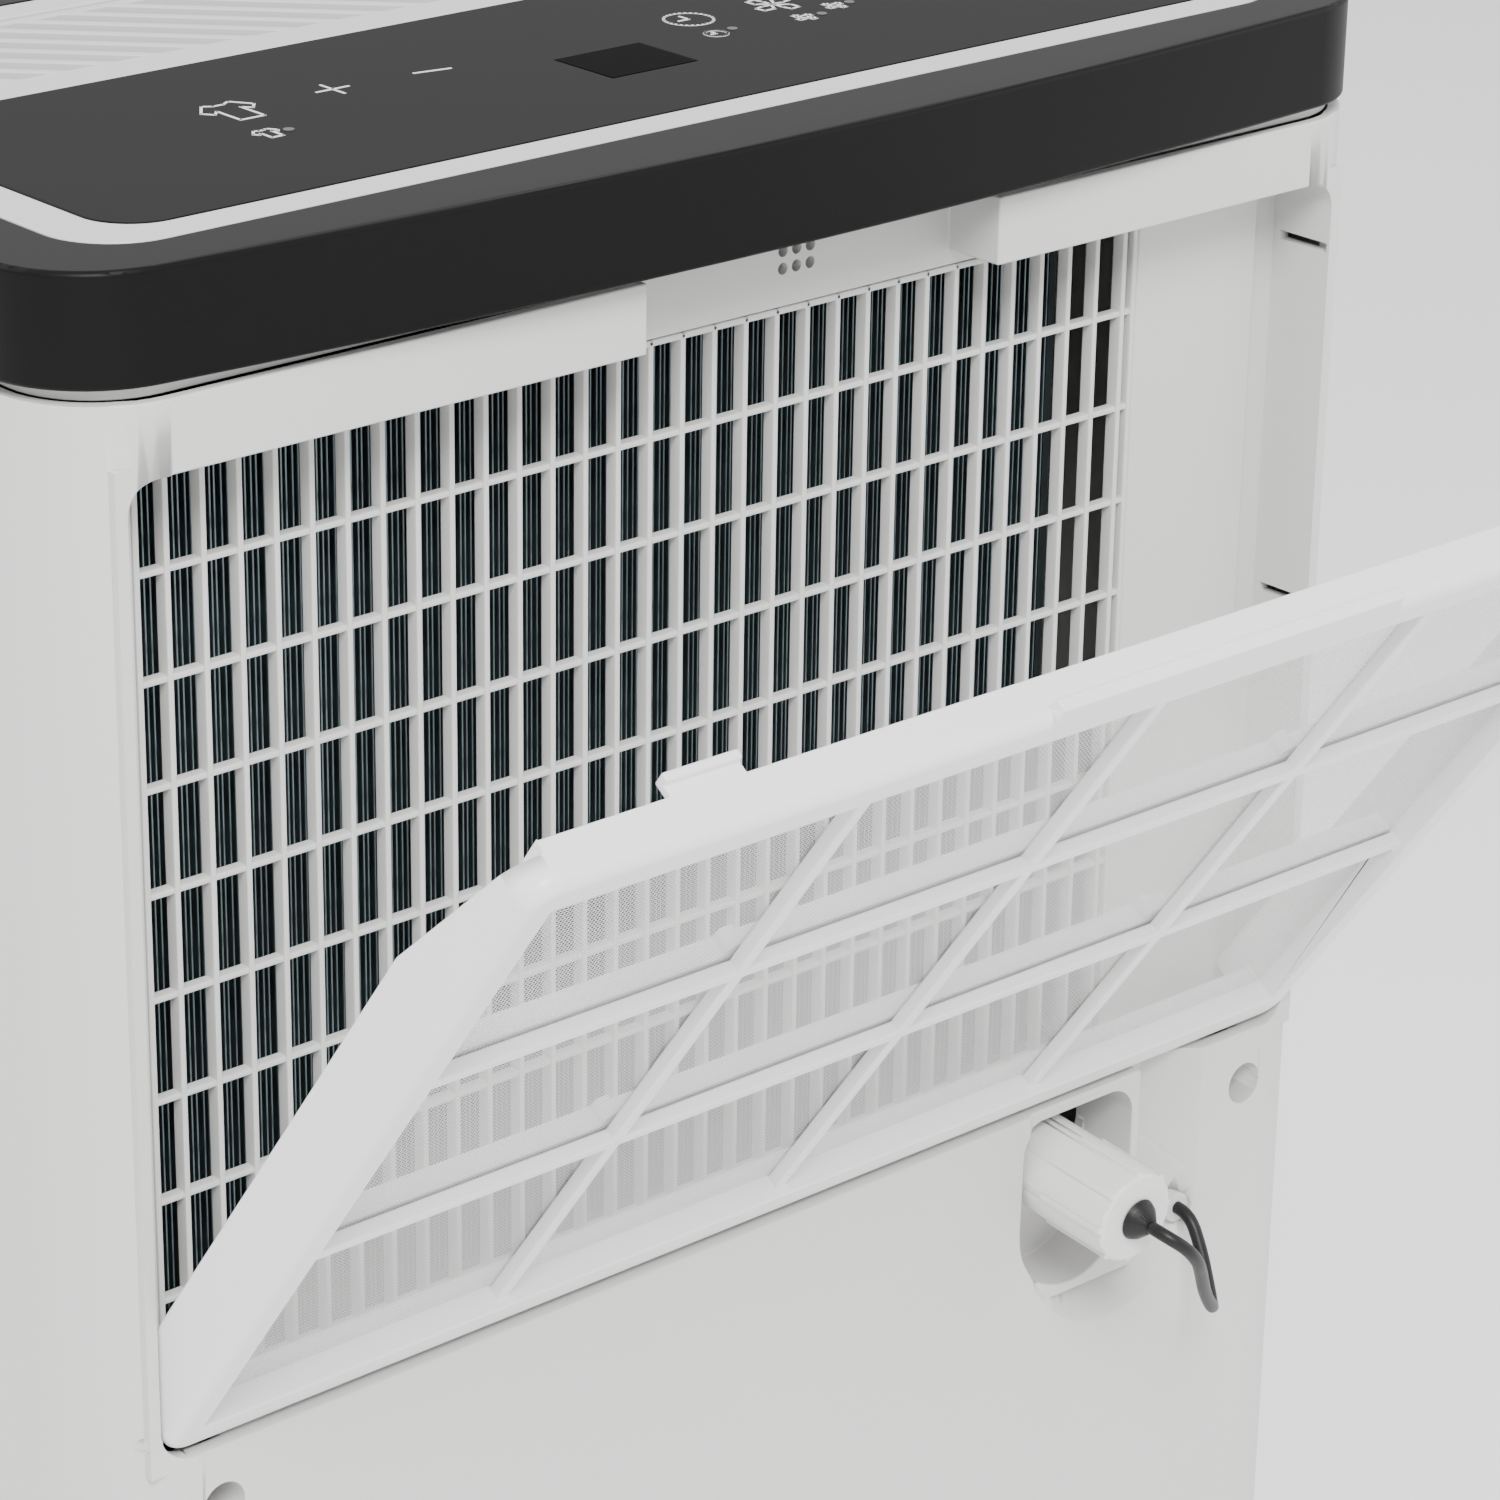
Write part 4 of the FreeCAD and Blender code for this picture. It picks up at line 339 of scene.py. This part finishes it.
def mode_mark(bm, x, y, size):
    """A shirt outline, for the laundry mode."""
    outline = [(-0.45, 1), (0.45, 1), (0.45, -0.25), (0.72, 0.05), (1, -0.3), (0.5, -1), (0.2, -0.8),
               (-0.2, -0.8), (-0.5, -1), (-1, -0.3), (-0.72, 0.05), (-0.45, -0.25)]
    stroke(bm, [(x + size * a, y + size * b) for a, b in outline], closed=True)


marks = bmesh.new()
stroke(marks, [(50.2, 52.4), (57.8, 52.4)])
stroke(marks, [(54, 48.6), (54, 56.2)])
stroke(marks, [(34.2, 52.6), (26.2, 54)])
mode_mark(marks, 78.4, 53.5, 6.2)
mode_mark(marks, 82.6, 70.5, 2.9)
clock_mark(marks, -36.5, 53.2, 5.2)
clock_mark(marks, -33.2, 65.6, 2.4)
fan_mark(marks, -58.5, 54.4, 5.6)
fan_mark(marks, -56.5, 66.5, 2.6)
fan_mark(marks, -68, 63, 2.6)
tank_mark(marks, -90, 55, 4.4)
add_piece(marks, "panel_marks", "housing", "trim_plastic", print_white)
lamps = bmesh.new()
for lamp_x, lamp_y in ((78, 70.6), (-38.6, 64.4), (-61.4, 66.4), (-72.6, 62.6), (-96.5, 63)):
    dot(lamps, lamp_x, lamp_y, LAMP_RADIUS)
add_piece(lamps, "panel_lamps", "housing", "trim_plastic", print_grey)

# ---------------------------------------------------------------- finned coils
# Each coil is a stack of thin aluminium fins on ten rows of tubes. The fins stand on edge between two
# end plates, and the copper return bends stand out of the plates.
fin_metal = finish("fin_metal", (0.15, 0.2, 0.215), 0.3, metal=0.9, mottle=0.1)
# A slightly lighter copy of the fin finish, a painted highlight for the light that the fins' rear edges
# catch.
fin_edge_painted_highlight = finish("fin_edge_painted_highlight", (0.17, 0.215, 0.23), 0.3, metal=0.85, mottle=0.15)
tube_metal = finish("tube_metal", (0.13, 0.19, 0.22), 0.35, metal=0.8, mottle=0.2)
# The near-black finish colours the coils' end plates, and also a box of painted shade inside each coil.
coil_dark_and_painted_shade = finish("coil_dark_and_painted_shade", (0.007, 0.012, 0.014), 0.6, mottle=0.2, gloss=0.2)
FIN_PITCH = 0.00135
FIN_THICK = 0.00026
ROW_RISE = 0.02104
COIL_LOW, COIL_HIGH = 0.255, 0.474
COIL_LEFT, COIL_RIGHT = -0.093, 0.147
FIN_LEAN = 0.00022
LIP_HALF, LIP_DEEP = FIN_THICK * 0.62, 0.0002
TUBE_ROWS, TUBE_RADIUS, TUBE_INSET = 10, 0.0036, 0.0062
PLATE_THICK, PLATE_LOW = 0.002, 0.2502
PAINTED_SHADE_INSET, PAINTED_SHADE_BACK, PAINTED_SHADE_EDGE = 0.002, 0.0075, 0.001


def rod_along(bm, start, end, radius, sides=12):
    """A round rod between two points."""
    start, end = Vector(start), Vector(end)
    run_of = end - start
    turn = run_of.to_track_quat("Z", "Y").to_matrix().to_4x4()
    bmesh.ops.create_cone(bm, cap_ends=True, segments=sides, radius1=radius, radius2=radius,
                          depth=run_of.length, matrix=Matrix.Translation((start + end) / 2) @ turn)


def fin_middles():
    """Where each fin stands. A fin leans a hair to one side or the other, as thin fins do."""
    for index in range(int((COIL_RIGHT - COIL_LEFT) / FIN_PITCH)):
        lean = FIN_LEAN * math.sin(index * 2.4) * math.sin(index * 0.37)
        yield COIL_LEFT + FIN_PITCH * (index + 0.5) + lean


def coil(node, front, rear):
    """Fins, end plates and tubes of one coil, and a near-black box inside it as painted shade of its depth.
    """
    fins, lips = bmesh.new(), bmesh.new()
    for x in fin_middles():
        bar(fins, (x - FIN_THICK / 2, front, COIL_LOW), (x + FIN_THICK / 2, rear, COIL_HIGH))
        # The lips on the fins' rear edges carry the lighter finish as a painted highlight.
        bar(lips, (x - LIP_HALF, rear - LIP_DEEP, COIL_LOW), (x + LIP_HALF, rear + LIP_DEEP, COIL_HIGH))
    add_piece(fins, node + "_fins", "housing", "coil_fins", fin_metal, node)
    add_piece(lips, node + "_fin_lips", "housing", "coil_fins", fin_edge_painted_highlight)
    tubes = bmesh.new()
    for row in range(TUBE_ROWS):
        height = COIL_LOW + ROW_RISE * (row + 0.5)
        rod_along(tubes, (COIL_LEFT - PLATE_THICK, rear - TUBE_INSET, height),
                  (COIL_RIGHT + PLATE_THICK, rear - TUBE_INSET, height), TUBE_RADIUS, 16)
    add_piece(tubes, node + "_tubes", "housing", "coil_fins", tube_metal)
    # Painted shade: a near-black box a little behind the fins' front edges darkens the gaps between the
    # fins.
    depth = bmesh.new()
    bar(depth, (COIL_LEFT, front + PAINTED_SHADE_INSET, COIL_LOW + PAINTED_SHADE_EDGE),
        (COIL_RIGHT, rear - PAINTED_SHADE_BACK, COIL_HIGH - PAINTED_SHADE_EDGE))
    add_piece(depth, node + "_depth", "housing", "coil_fins", coil_dark_and_painted_shade)
    plates = bmesh.new()
    for edge_x in (COIL_LEFT - PLATE_THICK, COIL_RIGHT):
        bar(plates, (edge_x, front, PLATE_LOW), (edge_x + PLATE_THICK, rear, COIL_HIGH + PLATE_THICK))
    add_piece(plates, node + "_plates", "housing", "coil_fins", coil_dark_and_painted_shade)


coil("evaporator", 0.079, 0.104)
coil("condenser", 0.049, 0.074)

# ---------------------------------------------------------------- tip-out filter
# A white moulded frame with a grid of ribs, open on its stop. Fine nylon net is moulded to the backs of
# the ribs, and a tongue on the top rail snaps behind the housing.
filter_white = finish("filter_white", (0.80, 0.80, 0.795), 0.34, mottle=0.005, grain=0.08)
FILTER_TILT = math.radians(-36)
PIVOT = Vector((0, 0.1245, 0.2845))
tilted = Matrix.Translation(PIVOT) @ Matrix.Rotation(FILTER_TILT, 4, "X")
moulding("filter_frame", "filter", "filter_plastic", filter_white, 0.0005)

BOSS_SIDE, BOSS_HEIGHTS = 0.0735, (0.0662, 0.1252)
BOSS_START, BOSS_END, BOSS_RADIUS, BOSS_ROUND = -0.0035, -0.0078, 0.0022, 0.0006
bosses = bmesh.new()
bar(bosses, (0.0975, -0.0074, 0.1780), (0.1005, -0.0012, 0.1890))
bmesh.ops.bevel(bosses, geom=bosses.edges[:], offset=BOSS_ROUND, offset_type="OFFSET", affect="EDGES",
                segments=2, profile=0.5, material=-1)
for side_x in (-BOSS_SIDE, BOSS_SIDE):
    for boss_z in BOSS_HEIGHTS:
        rod_along(bosses, (side_x, BOSS_START, boss_z), (side_x, BOSS_END, boss_z), BOSS_RADIUS, 14)
bmesh.ops.transform(bosses, matrix=tilted, verts=bosses.verts)
add_piece(bosses, "filter_bosses", "filter", "filter_plastic", filter_white)

# The net is woven from white nylon thread and stretched over the frame. The threads are see-through in
# part, so that the grille behind shows.
NET_PITCH = 0.00085
THREAD_WIDE, THREAD_THICK = 0.000275, 0.00003
NET_HALF = 0.1474
NET_LOW, NET_HIGH = 0.0051, 0.1819
NET_DEPTH = -0.0028
NYLON_ALPHA = 0.55
nylon = finish("nylon", (0.86, 0.86, 0.855), 0.32, mottle=0.0)
nylon.node_tree.nodes["Principled BSDF"].inputs["Alpha"].default_value = NYLON_ALPHA
net = bmesh.new()
for index in range(int(NET_HALF * 2 / NET_PITCH)):
    x = -NET_HALF + NET_PITCH * (index + 0.5)
    bar(net, (x - THREAD_WIDE / 2, NET_DEPTH, NET_LOW),
        (x + THREAD_WIDE / 2, NET_DEPTH + THREAD_THICK, NET_HIGH))
for index in range(int((NET_HIGH - NET_LOW) / NET_PITCH)):
    z = NET_LOW + NET_PITCH * (index + 0.5)
    bar(net, (-NET_HALF, NET_DEPTH - THREAD_THICK, z - THREAD_WIDE / 2),
        (NET_HALF, NET_DEPTH, z + THREAD_WIDE / 2))
bmesh.ops.transform(net, matrix=tilted, verts=net.verts)
filter_net = add_piece(net, "filter_net", "filter", "filter_net", nylon, "filter_mesh")

# ---------------------------------------------------------------- drain cap, plug and stud
# A ribbed cap of translucent white plastic over the spigot, with a rubber plug in its face.
# The plug's strap ends on a stud in the dish.
cap_white = finish("cap_white", (0.74, 0.735, 0.72), 0.3, mottle=0.01, grain=0.05)
moulding("drain_cap", "drain_cap", "filter_plastic", cap_white, 0.00028)
moulding("drain_plug", "drain_plug", "rubber_black", black_rubber, 0.0003)
moulding("tether_anchor", "housing", "filter_plastic", warm_white, 0.0009, steps=3)
port_axis = Vector((0, math.cos(PORT_TILT), -math.sin(PORT_TILT)))
port_turn = (Matrix.Translation((PORT_X, PORT_Y, PORT_Z))
             @ port_axis.to_track_quat("Z", "Y").to_matrix().to_4x4())
CAP_FACE = 0.0235
ARROW_RING, ARROW_SIZE, ARROW_RISE = 0.0079, 0.0011, 0.0003
arrows = bmesh.new()
for turn in (25, 155, 270):
    angle = math.radians(turn)
    centre = Vector((ARROW_RING * math.cos(angle), ARROW_RING * math.sin(angle), CAP_FACE))
    bmesh.ops.create_cone(arrows, cap_ends=True, segments=3, radius1=ARROW_SIZE, radius2=ARROW_SIZE,
                          depth=ARROW_RISE,
                          matrix=Matrix.Translation(centre) @ Matrix.Rotation(angle + math.pi / 2, 4, "Z"))
bmesh.ops.transform(arrows, matrix=port_turn, verts=arrows.verts)
add_piece(arrows, "cap_arrows", "drain_cap", "filter_plastic", cap_white)

# ---------------------------------------------------------------- screws, gland and sensor
# Zinc-plated screws stand deep in the rear face, and a rubber gland takes the mains lead.
# The humidity sensor and the tank's switch are small black boxes.
zinc = finish("zinc", (0.55, 0.55, 0.54), 0.3, metal=1, mottle=0.08)
moulding("rear_screws", "housing", "steel", zinc, 0.0002)
moulding("cord_gland", "housing", "rubber_black", black_rubber, 0.0004)
dark_plastic = finish("dark_plastic", (0.03, 0.03, 0.032), 0.45, mottle=0.05, grain=0.2)
moulding("humidity_sensor", "housing", "fan_plastic", dark_plastic, 0.0005)
moulding("tank_switch", "housing", "fan_plastic", dark_plastic, 0.0004)

# ---------------------------------------------------------------- water tank
# The tank and its clip-on lid are moulded in smoky translucent plastic.
# A clear level strip shows in its front, and a foam float swings on an arm inside.
smoky = finish("smoky", (0.42, 0.48, 0.52), 0.28, mottle=0.02, clear=0.35)
clear_strip = finish("clear_strip", (0.55, 0.63, 0.66), 0.08, coat=0.5, mottle=0.0, clear=0.6)
foam_white = finish("foam_white", (0.78, 0.78, 0.75), 0.8, mottle=0.03, grain=0.8)
moulding("water_tank", "tank", "tank_plastic", smoky, 0.0006)
moulding("tank_lid", "tank", "tank_plastic", smoky, 0.0005)
moulding("level_window", "tank", "window_clear", clear_strip, 0.0003)
moulding("tank_float", "float", "float_foam", foam_white, 0.0006)

# ---------------------------------------------------------------- castors
# The forks are pressed from zinc-plated steel, on plain stems that turn in the base.
# Black nylon wheels run on their axles.
wheel_black = finish("wheel_black", (0.02, 0.02, 0.02), 0.5, mottle=0.1, grain=0.3)
for corner in ("front_left", "front_right", "rear_left", "rear_right"):
    moulding("castor_fork_" + corner, "fork_" + corner, "steel", zinc, 0.0004)
    moulding("castor_wheel_" + corner, "wheel_" + corner, "wheel_nylon", wheel_black, 0.0005)

# ---------------------------------------------------------------- machine inside
# The shelf, tray, chute and fan case are grey mouldings. The compressor is a black-painted steel can on
# rubber feet, with copper lines up to the coils, and the fan is a black wheel on a steel motor.
chassis_grey = finish("chassis_grey", (0.10, 0.10, 0.105), 0.5, mottle=0.05, grain=0.2)
for node in ("chassis_plate", "bay_wall", "condensate_tray", "drip_chute", "fan_scroll"):
    moulding(node, "housing", "chassis_plastic", chassis_grey, 0.0004)
moulding("fan_impeller", "fan_wheel", "fan_plastic", dark_plastic, 0.0002)
moulding("fan_motor", "housing", "motor_steel", zinc, 0.001)
moulding("run_capacitor", "housing", "motor_steel", zinc, 0.001)
black_paint = finish("black_paint", (0.016, 0.016, 0.016), 0.3, coat=0.3, mottle=0.1)
moulding("compressor", "housing", "compressor_steel", black_paint, 0.0006)
moulding("compressor_feet", "housing", "rubber_black", black_rubber, 0.0008)
copper = finish("copper", (0.60, 0.27, 0.15), 0.3, metal=1, mottle=0.12)
for node in ("evaporator_bends", "condenser_bends"):
    moulding(node, "housing", "copper", copper, 0.0006)
moulding("refrigerant_pipes", "housing", "copper", copper, 0.0003)
board_green = finish("board_green", (0.02, 0.12, 0.05), 0.35, mottle=0.1)
for node in ("control_board", "power_board"):
    moulding(node, "housing", "board_green", board_green, 0.0003)

# ---------------------------------------------------------------- floor and light
# A pale matt floor, an even white surround and three large soft lamps.
# The key lamp stands high behind the machine, on the camera's side.
FLOOR_HALF = 6
SURROUND = 1.15
LAMP_AIM = Vector((0, 0, 0.3))
LAMPS = (("key", (0.9, 1.5, 2.1), 0.9, 85), ("side", (-1.5, 0.9, 1.0), 1.2, 8),
         ("front", (0.9, -1.6, 1.4), 1.5, 26))
floor_mesh = bmesh.new()
bmesh.ops.create_grid(floor_mesh, x_segments=1, y_segments=1, size=FLOOR_HALF)
ground = bpy.data.meshes.new("floor")
floor_mesh.to_mesh(ground)
floor_mesh.free()
floor = bpy.data.objects.new("floor", ground)
scene.collection.objects.link(floor)
floor.data.materials.append(finish("floor_pale", (0.93, 0.93, 0.93), 0.6, mottle=0.0))

world = bpy.data.worlds.new("studio")
scene.world = world
world.use_nodes = True
world.node_tree.nodes["Background"].inputs["Color"].default_value = (1, 1, 1, 1)
world.node_tree.nodes["Background"].inputs["Strength"].default_value = SURROUND
for lamp_name, spot, size, watts in LAMPS:
    lamp = bpy.data.lights.new(lamp_name, "AREA")
    lamp.energy = watts
    lamp.size = size
    holder = bpy.data.objects.new(lamp_name, lamp)
    holder.location = spot
    holder.rotation_euler = (LAMP_AIM - Vector(spot)).to_track_quat("-Z", "Y").to_euler()
    scene.collection.objects.link(holder)
